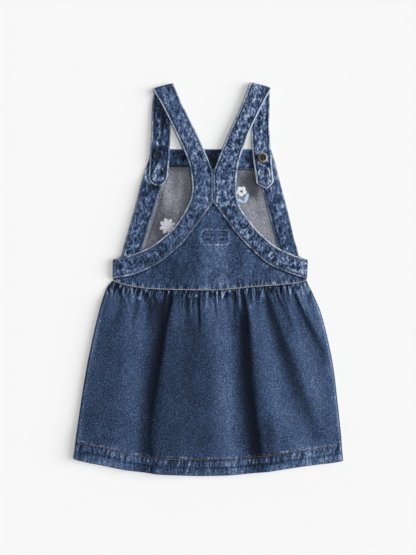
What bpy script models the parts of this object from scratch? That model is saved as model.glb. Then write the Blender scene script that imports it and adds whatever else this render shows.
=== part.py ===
"""Denim bib overall dress for a child of about two, laid flat with its back up.

The garment lies on the plane z = 0: its front is underneath, its back on top. +X is to
the right as one looks down on it, +Y runs from the hem to the shoulders. The tables are
in millimetres and every mesh is made in metres. Each piece that is cut and sewn on is an
object of its own, a wall of cloth with its real outline, clear of its neighbours.
"""
import math
from bisect import bisect_right

import bmesh
import bpy
from mathutils import Vector

MM = 0.001                 # the tables' unit in metres
SHARP_ANGLE = math.radians(35)       # edges sharper than this are not shaded smooth

# Cloth
CLOTH = 1.3                # one layer of denim
BAND = 2.4                 # a strap or band of double denim
HEM = 2.6                  # the turned hem
GAP = 0.3                  # clear space between pieces that are sewn together
LAYER = CLOTH + GAP        # height from one layer to the next one lying on it

# Back skirt, heights of its outer face
SIDE_TOP = 3.1             # at the side seams
HEM_TOP = HEM + GAP + HEM + 0.2      # along the hem, on the front's hem
MIDDLE_RISE = 1.9          # how much higher the loose middle lies
WAIST_RISE = 1.0           # and how much more at the waist seam
WAIST_EASE = 60.0          # distance from the waist over which that goes
HEM_DEPTH = 22.0           # width of the turned hem
HEM_EASE = 45.0            # distance over which the skirt climbs onto the hem
HEM_STEP = 0.8             # half the length of the step at the hem's turned edge
HEM_SHORTER = 1.5          # the hidden front's hem lies this much higher on the page
SIDE_EASE = 0.16           # share of the width over which the middle rises from a side
FOLD_START = 0.12          # share of the length over which a fold grows
FOLD_FADE = 0.3            # and over which it goes
SLOPE_LIMIT = 1.35         # most that a slope adds to the wall's upright thickness
SIDE_SHARE = 0.35          # share of the gathers' and folds' height left at a side seam
SIDE_GROW = 0.06           # share of the width over which the rest grows
SEAM_SHARE = 0.45          # share of a gather's height left at the waist seam
SEAM_GROW = 6.0            # distance over which the rest grows

# Hidden front of the skirt
FRONT_GATHER = 0.9         # height of its gathers
FRONT_FADE = (6.0, 30.0)   # distances from the waist between which they fade
FRONT_GROW = 0.1           # share of the width over which they grow from a side

# Yoke
YOKE_TUCK = 4.0            # how far it runs under the bands
YOKE_COLUMNS = 56          # mesh columns across it
YOKE_SHARES = (0.0, 0.28, 0.55, 0.8)      # its mesh rows, from the waist to the bands
YOKE_CLEAR = 0.15          # more than a gap under the bands, whose sections are straight
YOKE_OVER = 0.2            # its waist edge lies this much over the skirt's
YOKE_INSET = 1.0           # it stops this far inside the bands' ends

# Bib
FACING_WIDTH = 26.0        # the top facing, at the bib's sides
FACING_INSET = 1.0         # it stops this far inside the bib's edge
BAND_INSET = 0.4           # and the side bands this far
TAB_PLACE = 75.0           # across, where the side bands end under the facing's corner
BIB_COLUMNS = 8            # mesh columns across the bib
FACING_MESH = (12, 3)      # mesh columns and rows of the top facing
SIDE_BAND_MESH = (3, 12)   # and of a side band

# Straps
STRAP_STEPS = 3            # mesh sections for each row of the tables
FOLD_STEPS = 7             # mesh sections round the shoulder fold
FOLD_REACH = 4.4           # from the last row of a strap's back to the fold's outside
STRAP_EDGE = 0.7           # how far in its rounded edge reaches

# Buttons
BUTTON_RADIUS = 7.3
BUTTON_HEIGHT = 2.9
BUTTON_SIDES = 28
BUTTON_PROFILE = [         # radius and height, from the middle of the underside
    (0.0, 0.0), (BUTTON_RADIUS - 1.6, 0.0), (BUTTON_RADIUS - 0.4, 0.7),
    (BUTTON_RADIUS, 1.5), (BUTTON_RADIUS - 0.5, 2.4), (BUTTON_RADIUS - 1.4, BUTTON_HEIGHT),
    (BUTTON_RADIUS - 2.3, 2.4), (BUTTON_RADIUS - 2.7, 1.6), (0.0, 1.4),
]

# Side outline of the skirt: height on the page, left edge, right edge
SKIRT_SIDES = [
    (-265.9, -187.0, 186.5),
    (-243.0, -182.2, 182.2),
    (-203.2, -176.9, 178.9),
    (-162.7, -171.5, 174.6),
    (-122.2, -165.4, 169.8),
    (-95.2, -160.7, 165.4),
    (-68.2, -155.2, 159.3),
    (-41.2, -148.5, 151.2),
    (-27.7, -144.5, 145.1),
    (-16.9, -140.4, 140.4),
    (-8.8, -136.0, 136.4),
    (-1.7, -128.6, 133.7),
]

# Waist seam and hem: place across, place along
WAIST = [
    (-130.0, -1.2), (-118.8, -5.4), (-105.3, -8.8), (-78.3, -12.2), (-37.8, -13.6),
    (9.5, -14.2), (36.5, -12.2), (63.5, -9.5), (97.2, -6.8), (124.2, -4.4), (135.0, -1.6),
]
HEMLINE = [
    (-182.2, -242.2), (-159.3, -248.6), (-132.3, -254.7), (-105.3, -259.9),
    (-78.3, -263.5), (-37.8, -265.5), (-4.1, -265.9), (43.2, -264.5), (83.7, -260.7),
    (124.2, -255.4), (158.0, -249.3), (182.2, -243.9),
]

SEAM_INSET = 1.4           # the waist seam's ends lie this far inside the table's
SEAM_START = WAIST[0][0] + SEAM_INSET
SEAM_END = WAIST[-1][0] - SEAM_INSET
SKIRT_LENGTH = WAIST[5][1] - HEMLINE[6][1]

# Rows of the skirt's mesh, as distances from the waist
BACK_DISTANCES = [
    0.0, 3.0, 7.0, 12.0, 18.0, 26.0, 36.0, 50.0, 72.0, 98.0, 126.0, 154.0, 182.0, 208.0,
    SKIRT_LENGTH - HEM_DEPTH - HEM_STEP, SKIRT_LENGTH - HEM_DEPTH + HEM_STEP,
    SKIRT_LENGTH - 10.0, SKIRT_LENGTH,
]
FRONT_DISTANCES = [
    0.0, 6.0, 14.0, 26.0, 42.0, 80.0, 130.0, 180.0,
    SKIRT_LENGTH - HEM_DEPTH - HEM_STEP, SKIRT_LENGTH - HEM_DEPTH + HEM_STEP,
    SKIRT_LENGTH - 2.0,
]
BACK_FINE = 36.0           # down to here each gather has two columns, and then one
FRONT_FINE = 26.0

# Gathers of the waist: a run of small ones, uneven in width, height and reach
GATHER_COUNT = 46
GATHER_HEIGHT = 1.5
GATHER_REACH = 15.0
STRONG_WIDTH = 5.0         # how far to the sides a strong gather works on them

# Strong gathers: place across at the seam, height added, how far down they reach
STRONG_GATHERS = [
    (-112.0, 0.9, 30.0), (-92.0, 1.0, 34.0), (-76.0, 0.7, 28.0), (-51.0, 1.6, 46.0),
    (-29.0, 0.9, 40.0), (-12.5, 1.6, 44.0), (10.5, 1.0, 34.0), (36.0, 1.4, 46.0),
    (50.5, 1.7, 48.0), (80.0, 1.3, 44.0), (94.0, 1.0, 34.0), (114.0, 1.5, 44.0),
]

# Large folds of the back skirt: crest across at the waist, middle and hem, then height,
# width of its left and right slopes, and where along the skirt it starts and ends (0-1)
FOLDS = [
    ("outer left", -118.0, -139.0, -152.0, 1.6, 9.0, 14.0, 0.02, 0.45),
    ("far left", -88.0, -97.0, -106.0, 3.2, 26.0, 12.0, 0.03, 1.30),
    ("left", -48.0, -58.0, -70.0, 6.4, 13.0, 34.0, 0.02, 1.30),
    ("short", -10.0, -9.0, -8.0, 2.2, 5.0, 13.0, 0.02, 0.26),
    ("middle", 20.0, 25.0, 30.0, 3.2, 24.0, 15.0, 0.05, 1.30),
    ("right", 54.0, 64.0, 76.0, 7.0, 14.0, 32.0, 0.02, 1.30),
    ("soft", 84.0, 118.0, 142.0, 3.2, 13.0, 20.0, 0.05, 0.95),
    ("far right", 116.0, 152.0, 172.0, 3.2, 9.0, 14.0, 0.02, 0.45),
]

# Strap and armhole band: armhole edge x, y, other edge x, y, middle height. The rows run
# from the side seam along the armhole, up the centre back and on to the shoulder fold.
LEFT_BACK = [
    (-128.2, 26.3, -128.2, 0.4, 4.6),
    (-106.0, 31.7, -99.9, 6.1, 4.8),
    (-78.3, 43.2, -70.2, 18.9, 5.4),
    (-55.4, 60.1, -41.9, 40.8, 6.3),
    (-45.2, 70.9, -29.0, 54.7, 6.8),
    (-36.5, 83.0, -16.2, 70.9, 7.2),
    (-29.0, 95.9, -4.7, 87.1, 7.6),
    (-23.6, 108.7, 6.6, 103.0, 8.0),
    (-21.6, 120.8, 6.6, 118.1, 8.2),
    (-21.9, 133.0, 6.6, 133.0, 8.4),
    (-23.9, 145.8, 6.6, 147.4, 8.5),
    (-27.7, 161.3, -0.2, 161.7, 8.5),
    (-42.5, 195.1, -15.5, 196.4, 8.2),
    (-61.9, 234.0, -34.5, 234.0, 7.7),
    (-73.1, 253.0, -46.1, 260.4, 7.4),
]
RIGHT_BACK = [
    (134.6, 25.7, 133.4, 0.0, 4.6),
    (115.4, 32.4, 109.4, 7.8, 4.8),
    (91.1, 43.9, 80.3, 20.7, 5.4),
    (69.5, 62.1, 54.0, 43.9, 6.3),
    (59.4, 73.6, 41.2, 57.4, 6.8),
    (50.0, 85.7, 28.4, 73.6, 7.2),
    (42.5, 97.9, 17.6, 88.0, 7.6),
    (38.9, 109.4, 6.9, 103.0, 8.0),
    (37.8, 122.2, 6.9, 118.1, 8.2),
    (38.1, 134.3, 6.9, 133.0, 8.4),
    (39.4, 147.2, 6.9, 147.4, 8.5),
    (42.5, 161.3, 13.9, 162.0, 8.5),
    (54.4, 195.1, 27.7, 195.1, 8.2),
    (73.0, 234.0, 45.6, 234.8, 7.7),
    (83.9, 254.2, 55.6, 261.7, 7.4),
]
CENTRE_ROWS = (7, 10)      # rows where the other edge turns a corner: apex and V

# Front of each strap, from the fold to the tab: the same columns
LEFT_FRONT = [
    (-73.1, 253.0, -46.1, 260.4, 1.2),
    (-75.4, 234.0, -48.6, 236.0, 1.2),
    (-76.0, 213.0, -50.0, 214.0, 1.25),
    (-76.4, 196.0, -50.6, 197.0, 1.5),
    (-77.4, 180.0, -51.3, 181.0, 4.1),
    (-78.7, 164.0, -52.2, 164.0, 4.4),
    (-79.8, 147.0, -53.6, 147.0, 4.4),
    (-80.3, 136.5, -54.6, 138.0, 4.4),
    (-77.2, 130.3, -58.6, 130.3, 4.4),
    (-70.6, 126.0, -64.6, 126.0, 4.4),
]
RIGHT_FRONT = [
    (83.9, 254.2, 55.6, 261.7, 1.2),
    (83.3, 234.0, 57.4, 236.0, 1.2),
    (83.0, 213.0, 57.7, 213.0, 1.25),
    (83.4, 196.0, 58.2, 197.0, 1.5),
    (84.1, 180.0, 58.8, 181.0, 4.1),
    (85.7, 164.0, 60.4, 164.0, 4.4),
    (87.0, 149.0, 63.2, 148.0, 4.4),
    (88.3, 136.0, 66.2, 134.0, 4.4),
    (88.4, 131.6, 67.8, 128.6, 4.4),
    (81.4, 123.6, 78.6, 123.2, 4.4),
]

# Bib: height on the page, left edge, right edge
BIB_SIDES = [
    (-1.7, -128.0, 133.2),
    (12.8, -128.2, 133.8),
    (25.0, -128.2, 134.4),
    (27.8, -122.0, 128.0),
    (31.0, -117.8, 122.6),
    (39.8, -115.0, 120.2),
    (56.0, -110.4, 115.4),
    (80.3, -103.3, 110.0),
    (107.3, -95.9, 103.2),
    (134.3, -88.9, 96.0),
    (151.0, -83.7, 92.2),
    (164.0, -79.7, 88.6),
    (175.5, -77.0, 85.1),
]
BIB_TOP = 175.5
BIB_BAND_END = 24.0        # where the bib's side bands end, under the back's bands

# Lower edge of the bib's top facing: place across, place along
FACING_EDGE = [(-90.0, 150.5), (-30.0, 151.5), (30.0, 148.5), (100.0, 146.5)]

# Inner edges of the bib's side bands: height on the page, left band, right band
BIB_BAND_EDGES = [
    (20.0, -96.5, 100.5),
    (39.8, -90.5, 95.3),
    (66.8, -81.7, 87.8),
    (97.9, -71.6, 79.7),
    (126.2, -63.5, 71.6),
    (152.0, -57.5, 66.0),
]

BUTTONS = [("button_left", -66.6, 168.9, 4.4), ("button_right", 73.6, 164.7, 4.4)]

# Colour, roughness and metallic value of each finish
DENIM = ((0.045, 0.078, 0.185, 1.0), 0.88, 0.0)
DENIM_WORN = ((0.075, 0.125, 0.265, 1.0), 0.86, 0.0)
DENIM_REVERSE = ((0.20, 0.205, 0.22, 1.0), 0.9, 0.0)
BUTTON_METAL = ((0.30, 0.27, 0.24, 1.0), 0.42, 0.75)


def smooth_at(table, key, column=1):
    """Value of a table's column at a key, on a smooth line through its rows."""
    keys = [row[0] for row in table]
    values = [row[column] for row in table]
    last = len(table) - 1
    i = max(0, min(bisect_right(keys, key) - 1, last - 1))
    span = keys[i + 1] - keys[i]
    slopes = []
    for j in (i, i + 1):
        low, high = max(j - 1, 0), min(j + 1, last)
        slopes.append((values[high] - values[low]) / (keys[high] - keys[low]) * span)
    return hermite(values[i], values[i + 1], slopes[0], slopes[1], (key - keys[i]) / span)


def hermite(start, end, start_slope, end_slope, t):
    """Cubic from start to end with the given slopes."""
    return (
        (2 * t ** 3 - 3 * t ** 2 + 1) * start
        + (t ** 3 - 2 * t ** 2 + t) * start_slope
        + (3 * t ** 2 - 2 * t ** 3) * end
        + (t ** 3 - t ** 2) * end_slope
    )


def along_rows(rows, column, place, corners=()):
    """Value of a column at a place counted in rows, smooth but at the corner rows."""
    last = len(rows) - 1
    i = min(int(place), last - 1)
    start, end = rows[i][column], rows[i + 1][column]
    before = rows[i - 1][column] if i > 0 and i not in corners else 2 * start - end
    after_row = i + 2 <= last and i + 1 not in corners
    after = rows[i + 2][column] if after_row else 2 * end - start
    return hermite(start, end, (end - before) / 2, (after - start) / 2, place - i)


def ease(low, high, value):
    """0 below low, 1 above high, smooth between."""
    t = max(0.0, min(1.0, (value - low) / (high - low)))
    return t * t * (3 - 2 * t)


def material(name, finish):
    """A Principled material of the given colour, roughness and metallic value."""
    colour, roughness, metallic = finish
    new = bpy.data.materials.new(name)
    new.use_nodes = True
    shader = new.node_tree.nodes["Principled BSDF"]
    shader.inputs["Base Color"].default_value = colour
    shader.inputs["Roughness"].default_value = roughness
    shader.inputs["Metallic"].default_value = metallic
    new.diffuse_color = colour
    return new


def finish_object(name, mesh, finish):
    """Turn a bmesh in millimetres into a named object in metres."""
    bmesh.ops.recalc_face_normals(mesh, faces=mesh.faces[:])
    bmesh.ops.scale(mesh, vec=(MM, MM, MM), verts=mesh.verts[:])
    data = bpy.data.meshes.new(name)
    mesh.to_mesh(data)
    mesh.free()
    data.materials.append(material(name, finish))
    data.shade_smooth()
    data.set_sharp_from_angle(angle=SHARP_ANGLE)
    thing = bpy.data.objects.new(name, data)
    bpy.context.scene.collection.objects.link(thing)
    return thing


def wall(name, upper_rows, lower_rows, finish):
    """Closed wall between two stacks of rows; a row may have half the last one's columns."""
    mesh = bmesh.new()
    upper = [[mesh.verts.new(point) for point in row] for row in upper_rows]
    lower = [[mesh.verts.new(point) for point in row] for row in lower_rows]
    for sheet in (upper, lower):
        for row, following in zip(sheet, sheet[1:]):
            join_rows(mesh, row, following)
    sides = [
        ([row[0] for row in upper], [row[0] for row in lower]),
        ([row[-1] for row in upper], [row[-1] for row in lower]),
        (upper[0], lower[0]),
        (upper[-1], lower[-1]),
    ]
    for above, below in sides:
        join_rows(mesh, above, below)
    return finish_object(name, mesh, finish)


def join_rows(mesh, row, following):
    """Faces between two rows of vertices, where the second may be half as fine."""
    if len(row) == len(following):
        for i in range(len(row) - 1):
            mesh.faces.new((row[i], row[i + 1], following[i + 1], following[i]))
        return
    for i in range(len(following) - 1):
        left, middle, right = row[2 * i], row[2 * i + 1], row[2 * i + 2]
        mesh.faces.new((left, middle, following[i]))
        mesh.faces.new((middle, following[i + 1], following[i]))
        mesh.faces.new((middle, right, following[i + 1]))


# Skirt

def uneven(i, spread, turn, shift=0.0):
    """1 with a spread that changes from one gather to the next."""
    return 1 + spread * math.sin(turn * i + shift)


def gather_columns():
    """Across the waist: fraction, wave (0 valley, 1 crest), height and reach."""
    widths = [uneven(i, 0.26, 1.9) * uneven(i, 0.16, 4.7, 1.0) for i in range(GATHER_COUNT)]
    whole = sum(widths)
    columns = []
    start = 0.0
    for i, width in enumerate(widths):
        middle = SEAM_START + (start + width / 2) / whole * (SEAM_END - SEAM_START)
        height = GATHER_HEIGHT * uneven(i, 0.3, 2.7)
        reach = GATHER_REACH * uneven(i, 0.4, 1.3)
        for place, more, further in STRONG_GATHERS:
            near = math.exp(-((middle - place) / STRONG_WIDTH) ** 2)
            height += more * near
            reach += (further - GATHER_REACH) * near
        columns.append((start / whole, 0.0, height, reach))
        columns.append(((start + width / 2) / whole, 1.0, height, reach))
        start += width
    columns.append((1.0, 0.0, height, reach))
    return columns


def waist_side(x):
    """Height on the page of the skirt's upper edge."""
    return smooth_at(WAIST, x) - GAP


def skirt_place(fraction, down, shorter=0.0):
    """Place on the page of a point of the skirt, from 0 to 1 across and down."""
    waist_y = waist_side(SEAM_START + fraction * (SEAM_END - SEAM_START))
    hem_x = HEMLINE[0][0] + fraction * (HEMLINE[-1][0] - HEMLINE[0][0])
    hem_y = smooth_at(HEMLINE, hem_x) + shorter
    y = waist_y + (hem_y - waist_y) * down
    left_y = waist_side(SEAM_START) * (1 - down) + HEMLINE[0][1] * down
    right_y = waist_side(SEAM_END) * (1 - down) + HEMLINE[-1][1] * down
    left = smooth_at(SKIRT_SIDES, left_y, 1)
    right = smooth_at(SKIRT_SIDES, right_y, 2)
    return left + fraction * (right - left), y


def fold_height(x, down):
    """Height that the large folds add at a point of the back skirt."""
    height = 0.0
    for name, at_waist, at_middle, at_hem, tall, left, right, start, end in FOLDS:
        crest = along_rows([(at_waist,), (at_middle,), (at_hem,)], 0, 2 * down)
        slope = left if x < crest else right
        shape = math.exp(-((x - crest) / slope) ** 2)
        grown = ease(start, start + FOLD_START, down) * (1 - ease(end - FOLD_FADE, end, down))
        height += tall * shape * grown
    return height


def back_top(fraction, distance, wave, gather, reach):
    """Height of the back skirt's outer face, at a distance from the waist."""
    down = distance / SKIRT_LENGTH
    x, y = skirt_place(fraction, down)
    from_side = min(fraction, 1 - fraction)
    inside = ease(0.0, SIDE_EASE, from_side)
    hem_start = SKIRT_LENGTH - HEM_DEPTH
    climb = ease(hem_start - HEM_EASE, hem_start - 2 * HEM_STEP, distance)
    base = SIDE_TOP + (HEM_TOP - SIDE_TOP) * climb + MIDDLE_RISE * inside
    waist_rise = WAIST_RISE * inside * (1 - ease(0.0, WAIST_EASE, distance))
    at_seam = SEAM_SHARE + (1 - SEAM_SHARE) * ease(0.0, SEAM_GROW, distance)
    gathered = gather * wave * at_seam * math.exp(-(distance / reach) ** 2)
    at_side = SIDE_SHARE + (1 - SIDE_SHARE) * ease(0.0, SIDE_GROW, from_side)
    return base + waist_rise + at_side * (gathered + fold_height(x, down))


def front_lift(fraction, distance, wave, gather, reach):
    """Height of the hidden front's underside, over the surface."""
    middle = ease(0.0, FRONT_GROW, min(fraction, 1 - fraction))
    return FRONT_GATHER * wave * middle * (1 - ease(*FRONT_FADE, distance))


def skirt_rows(distances, fine_to, height, other_height, shorter=0.0):
    """Rows of a skirt panel's two faces, with fewer columns past the distance fine_to."""
    fine = gather_columns()
    length = distances[-1]
    face, other_face = [], []
    for distance in distances:
        columns = fine if distance <= fine_to else fine[::2]
        places = [skirt_place(column[0], distance / length, shorter) for column in columns]
        heights = [height(column[0], distance, *column[1:]) for column in columns]
        others = other_height(distance, places, heights)
        face.append([(x, y, z) for (x, y), z in zip(places, heights)])
        other_face.append([(x, y, z) for (x, y), z in zip(places, others)])
    return face, other_face


def thickness_at(distance):
    """The skirt's thickness, doubled along the hem."""
    return HEM if distance > SKIRT_LENGTH - HEM_DEPTH else CLOTH


def back_bottoms(distance, places, tops):
    """Heights of the back's inner face, so that the wall keeps its thickness on slopes."""
    bottoms = []
    last = len(tops) - 1
    for i in range(len(tops)):
        low, high = max(i - 1, 0), min(i + 1, last)
        slope = (tops[high] - tops[low]) / (places[high][0] - places[low][0])
        upright = min(math.sqrt(1 + slope * slope), SLOPE_LIMIT)
        bottoms.append(tops[i] - thickness_at(distance) * upright)
    return bottoms


def front_tops(distance, places, lifts):
    """Heights of the front's inner face, over its outer one."""
    return [z + thickness_at(distance) for z in lifts]


def build_skirt_back():
    """Gathered back panel with its large folds and turned hem."""
    upper, lower = skirt_rows(BACK_DISTANCES, BACK_FINE, back_top, back_bottoms)
    return wall("skirt_back", upper, lower, DENIM)


def build_skirt_front():
    """Hidden front panel, flat underneath, its gathers lifting off near the waist."""
    lower, upper = skirt_rows(FRONT_DISTANCES, FRONT_FINE, front_lift, front_tops, HEM_SHORTER)
    return wall("skirt_front", upper, lower, DENIM_REVERSE)


# Straps and armhole bands

def band_section(row, normal):
    """Ring of eight points round a strap: armhole edge, other edge, middle height."""
    outer = Vector((row[0], row[1], row[4]))
    inner = Vector((row[2], row[3], row[4]))
    return ring(outer, inner, normal)


def ring(outer, inner, normal):
    """Eight points round a strap of double cloth, with rounded edges."""
    across = (inner - outer).normalized() * STRAP_EDGE
    half = normal * (BAND / 2)
    middle = (outer + inner) / 2
    return [
        outer, outer + across + half, middle + half, inner - across + half,
        inner, inner - across - half, middle - half, outer + across - half,
    ]


def strap_rings(back, front):
    """Rings of a strap from the side seam over the shoulder fold to its tab."""
    up = Vector((0, 0, 1))
    rings = []
    for step in range(STRAP_STEPS * (len(back) - 1) + 1):
        place = step / STRAP_STEPS
        row = [along_rows(back, column, place) for column in (0, 1)]
        row += [along_rows(back, column, place, CENTRE_ROWS) for column in (2, 3)]
        row.append(along_rows(back, 4, place))
        rings.append(band_section(row, up))
    high, low = back[-1], front[0]
    centre_z, radius = (high[4] + low[4]) / 2, (high[4] - low[4]) / 2
    along_fold = Vector((high[2] - high[0], high[3] - high[1], 0)).normalized()
    outward = Vector((-along_fold.y, along_fold.x, 0))
    if outward.y < 0:
        outward = -outward
    for step in range(1, FOLD_STEPS):
        turn = math.pi * step / FOLD_STEPS
        normal = up * math.cos(turn) + outward * math.sin(turn)
        swing = normal * radius
        stretch = outward * (FOLD_REACH - radius - BAND / 2) * math.sin(turn)
        outer = Vector((high[0], high[1], centre_z)) + swing + stretch
        inner = Vector((high[2], high[3], centre_z)) + swing + stretch
        rings.append(ring(outer, inner, normal))
    for step in range(STRAP_STEPS * (len(front) - 1) + 1):
        place = step / STRAP_STEPS
        row = [along_rows(front, column, place) for column in range(5)]
        rings.append(band_section(row, -up))
    return rings


def build_strap(name, back, front):
    """One strap with its armhole band, as a lofted body of double denim."""
    mesh = bmesh.new()
    loops = [[mesh.verts.new(point) for point in points] for points in strap_rings(back, front)]
    for loop, following in zip(loops, loops[1:]):
        for i in range(len(loop)):
            j = (i + 1) % len(loop)
            mesh.faces.new((loop[i], loop[j], following[j], following[i]))
    mesh.faces.new(loops[0])
    mesh.faces.new(loops[-1])
    return finish_object(name, mesh, DENIM_WORN)


# Yoke

def band_lower_edge():
    """Rows of the bands' lower edge, left to right: across, along, middle height."""
    edge = []
    for back, ways in ((LEFT_BACK, 1), (RIGHT_BACK, -1)):
        apex = CENTRE_ROWS[0]
        points = []
        for step in range(STRAP_STEPS * apex + 1):
            place = step / STRAP_STEPS
            x, y = (along_rows(back, column, place, CENTRE_ROWS) for column in (2, 3))
            points.append((x, y, along_rows(back, 4, place)))
        edge += points[::ways]
    return edge


def build_yoke():
    """Pointed back yoke: its upper edges run under the bands, its lower edge is the waist."""
    edge = band_lower_edge()
    first, last = edge[0][0] + YOKE_INSET, edge[-1][0] - YOKE_INSET
    row_count = len(YOKE_SHARES) + 2
    upper, lower = [[] for _ in range(row_count)], [[] for _ in range(row_count)]
    for column in range(YOKE_COLUMNS + 1):
        x = first + (last - first) * column / YOKE_COLUMNS
        waist_y = smooth_at(WAIST, x)
        edge_y = smooth_at(edge, x, 1)
        under = smooth_at(edge, x, 2) - BAND / 2 - GAP - YOKE_CLEAR
        fraction = (x - WAIST[0][0]) / (WAIST[-1][0] - WAIST[0][0])
        at_waist = back_top(fraction, 0.0, 0.0, 0.0, 1.0) + YOKE_OVER
        start_under = edge_y - CLOTH / 2
        places = [(waist_y + (start_under - waist_y) * share, share) for share in YOKE_SHARES]
        places += [(start_under, 1.0), (edge_y + YOKE_TUCK, 1.0)]
        for i, (y, share) in enumerate(places):
            top = at_waist + (under - at_waist) * ease(0.0, 1.0, share)
            upper[i].append((x, y, top))
            lower[i].append((x, y, top - CLOTH))
    return wall("back_yoke", upper, lower, DENIM)


# Bib

def between(start, end, parts):
    """Evenly spaced values from start to end."""
    return [start + (end - start) * i / parts for i in range(parts + 1)]


def flat_wall(name, lines, bottom, finish):
    """Level wall of one layer of cloth over lines of places on the page."""
    upper = [[(x, y, bottom + CLOTH) for x, y in line] for line in lines]
    lower = [[(x, y, bottom) for x, y in line] for line in lines]
    return wall(name, upper, lower, finish)


def build_bib():
    """Bib front, lying with its inside up, its lowest line along the waist seam."""
    lines = []
    for i, (y, left, right) in enumerate(BIB_SIDES):
        xs = between(left, right, BIB_COLUMNS)
        lines.append([(x, smooth_at(WAIST, x) if i == 0 else y) for x in xs])
    return flat_wall("bib_front", lines, 0.0, DENIM_REVERSE)


def build_top_facing():
    """Facing along the bib's top edge, on its inside."""
    top_y = BIB_TOP - FACING_INSET
    lines = []
    for share in between(0.0, 1.0, FACING_MESH[1]):
        left = smooth_at(BIB_SIDES, top_y - FACING_WIDTH * share, 1) + FACING_INSET
        right = smooth_at(BIB_SIDES, top_y - FACING_WIDTH * share, 2) - FACING_INSET
        xs = between(left, right, FACING_MESH[0])
        lines.append([(x, top_y + (smooth_at(FACING_EDGE, x) - top_y) * share) for x in xs])
    return flat_wall("bib_top_facing", lines, LAYER, DENIM_WORN)


def build_side_band(name, side):
    """Band along one armhole edge of the bib, on its inside."""
    edge_column = 1 if side < 0 else 2
    top_y = smooth_at(FACING_EDGE, side * TAB_PLACE) - GAP - BAND_INSET
    lines = []
    for y in between(BIB_BAND_END, top_y, SIDE_BAND_MESH[1]):
        outer = smooth_at(BIB_SIDES, y, edge_column) - side * BAND_INSET
        inner = smooth_at(BIB_BAND_EDGES, y, edge_column)
        lines.append([(x, y) for x in between(outer, inner, SIDE_BAND_MESH[0])])
    return flat_wall(name, lines, LAYER, DENIM_WORN)


# Buttons

def build_button(name, x, y, strap_z):
    """Sew-through button: a raised rim round a recessed middle, turned about its axis."""
    base = strap_z + BAND / 2 + GAP
    mesh = bmesh.new()
    rings = []
    for r, z in BUTTON_PROFILE:
        if r == 0.0:
            rings.append([mesh.verts.new((x, y, base + z))])
            continue
        turns = [2 * math.pi * i / BUTTON_SIDES for i in range(BUTTON_SIDES)]
        rings.append([
            mesh.verts.new((x + r * math.cos(a), y + r * math.sin(a), base + z)) for a in turns
        ])
    for loop, following in zip(rings, rings[1:]):
        for i in range(BUTTON_SIDES):
            j = (i + 1) % BUTTON_SIDES
            if len(loop) == 1:
                mesh.faces.new((loop[0], following[i], following[j]))
            elif len(following) == 1:
                mesh.faces.new((loop[i], loop[j], following[0]))
            else:
                mesh.faces.new((loop[i], loop[j], following[j], following[i]))
    return finish_object(name, mesh, BUTTON_METAL)


def main():
    for thing in list(bpy.data.objects):
        bpy.data.objects.remove(thing)
    build_skirt_front()
    build_skirt_back()
    build_yoke()
    build_strap("strap_left", LEFT_BACK, LEFT_FRONT)
    build_strap("strap_right", RIGHT_BACK, RIGHT_FRONT)
    build_bib()
    build_top_facing()
    build_side_band("bib_side_band_left", -1)
    build_side_band("bib_side_band_right", 1)
    for name, x, y, strap_z in BUTTONS:
        build_button(name, x, y, strap_z)


main()
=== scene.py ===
# %% [markdown]
# # A child's denim bib overall dress, laid flat with its back up
#
# The dress lies on a pale table and the camera looks straight down on it. Its imported model
# gives plain walls of cloth in their places. Over each of them this lesson makes a finer
# sheet of the same form, with gathers and puckers, its ridges worn and painted lighter as
# painted light, its hollows darkened as painted shade, and then sews it.

# %% Load the imported model
import math

import bmesh
import bpy
import numpy as np
from mathutils import Matrix, Vector, noise
from mathutils.bvhtree import BVHTree


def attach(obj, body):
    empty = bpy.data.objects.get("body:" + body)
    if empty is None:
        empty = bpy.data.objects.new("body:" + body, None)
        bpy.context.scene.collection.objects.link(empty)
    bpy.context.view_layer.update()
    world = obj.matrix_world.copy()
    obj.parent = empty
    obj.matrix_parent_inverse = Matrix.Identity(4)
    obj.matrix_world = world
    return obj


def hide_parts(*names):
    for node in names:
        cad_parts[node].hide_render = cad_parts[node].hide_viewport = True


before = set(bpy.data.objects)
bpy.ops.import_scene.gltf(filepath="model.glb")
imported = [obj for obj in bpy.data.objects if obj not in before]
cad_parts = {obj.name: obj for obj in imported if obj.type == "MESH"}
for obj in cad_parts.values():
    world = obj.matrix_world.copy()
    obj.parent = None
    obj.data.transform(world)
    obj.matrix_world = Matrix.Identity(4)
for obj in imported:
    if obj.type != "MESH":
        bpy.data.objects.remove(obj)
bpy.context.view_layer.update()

MM = 0.001                       # the tables below are in millimetres

# %% [markdown]
# ## Camera
#
# The photograph was taken from straight above. A long lens from 1.6 m up keeps the view
# nearly parallel, as in the photograph, and the frame is 752 mm high.

# %% Camera straight above
CAMERA_HEIGHT = 1.6
VIEW_HEIGHT = 0.7515
VIEW_CENTRE = (-0.0002, 0.0018)


def add_object(name, data):
    """A new object in the scene."""
    thing = bpy.data.objects.new(name, data)
    bpy.context.scene.collection.objects.link(thing)
    return thing


camera_data = bpy.data.cameras.new("camera")
camera_data.sensor_width = 36.0
camera_data.lens = camera_data.sensor_width * CAMERA_HEIGHT / VIEW_HEIGHT
camera = add_object("camera", camera_data)
camera.location = (*VIEW_CENTRE, CAMERA_HEIGHT)
bpy.context.scene.camera = camera
print("lens:", round(camera_data.lens, 1), "mm")

# %% [markdown]
# ## Outlines
#
# Nearly the same short tables as the solids have: the outline of the skirt, its folds and its
# gathers, and rows across the straps. A smooth line through the rows gives every point
# between them, so the fine cloth keeps the form of the solid that it replaces.

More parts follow.
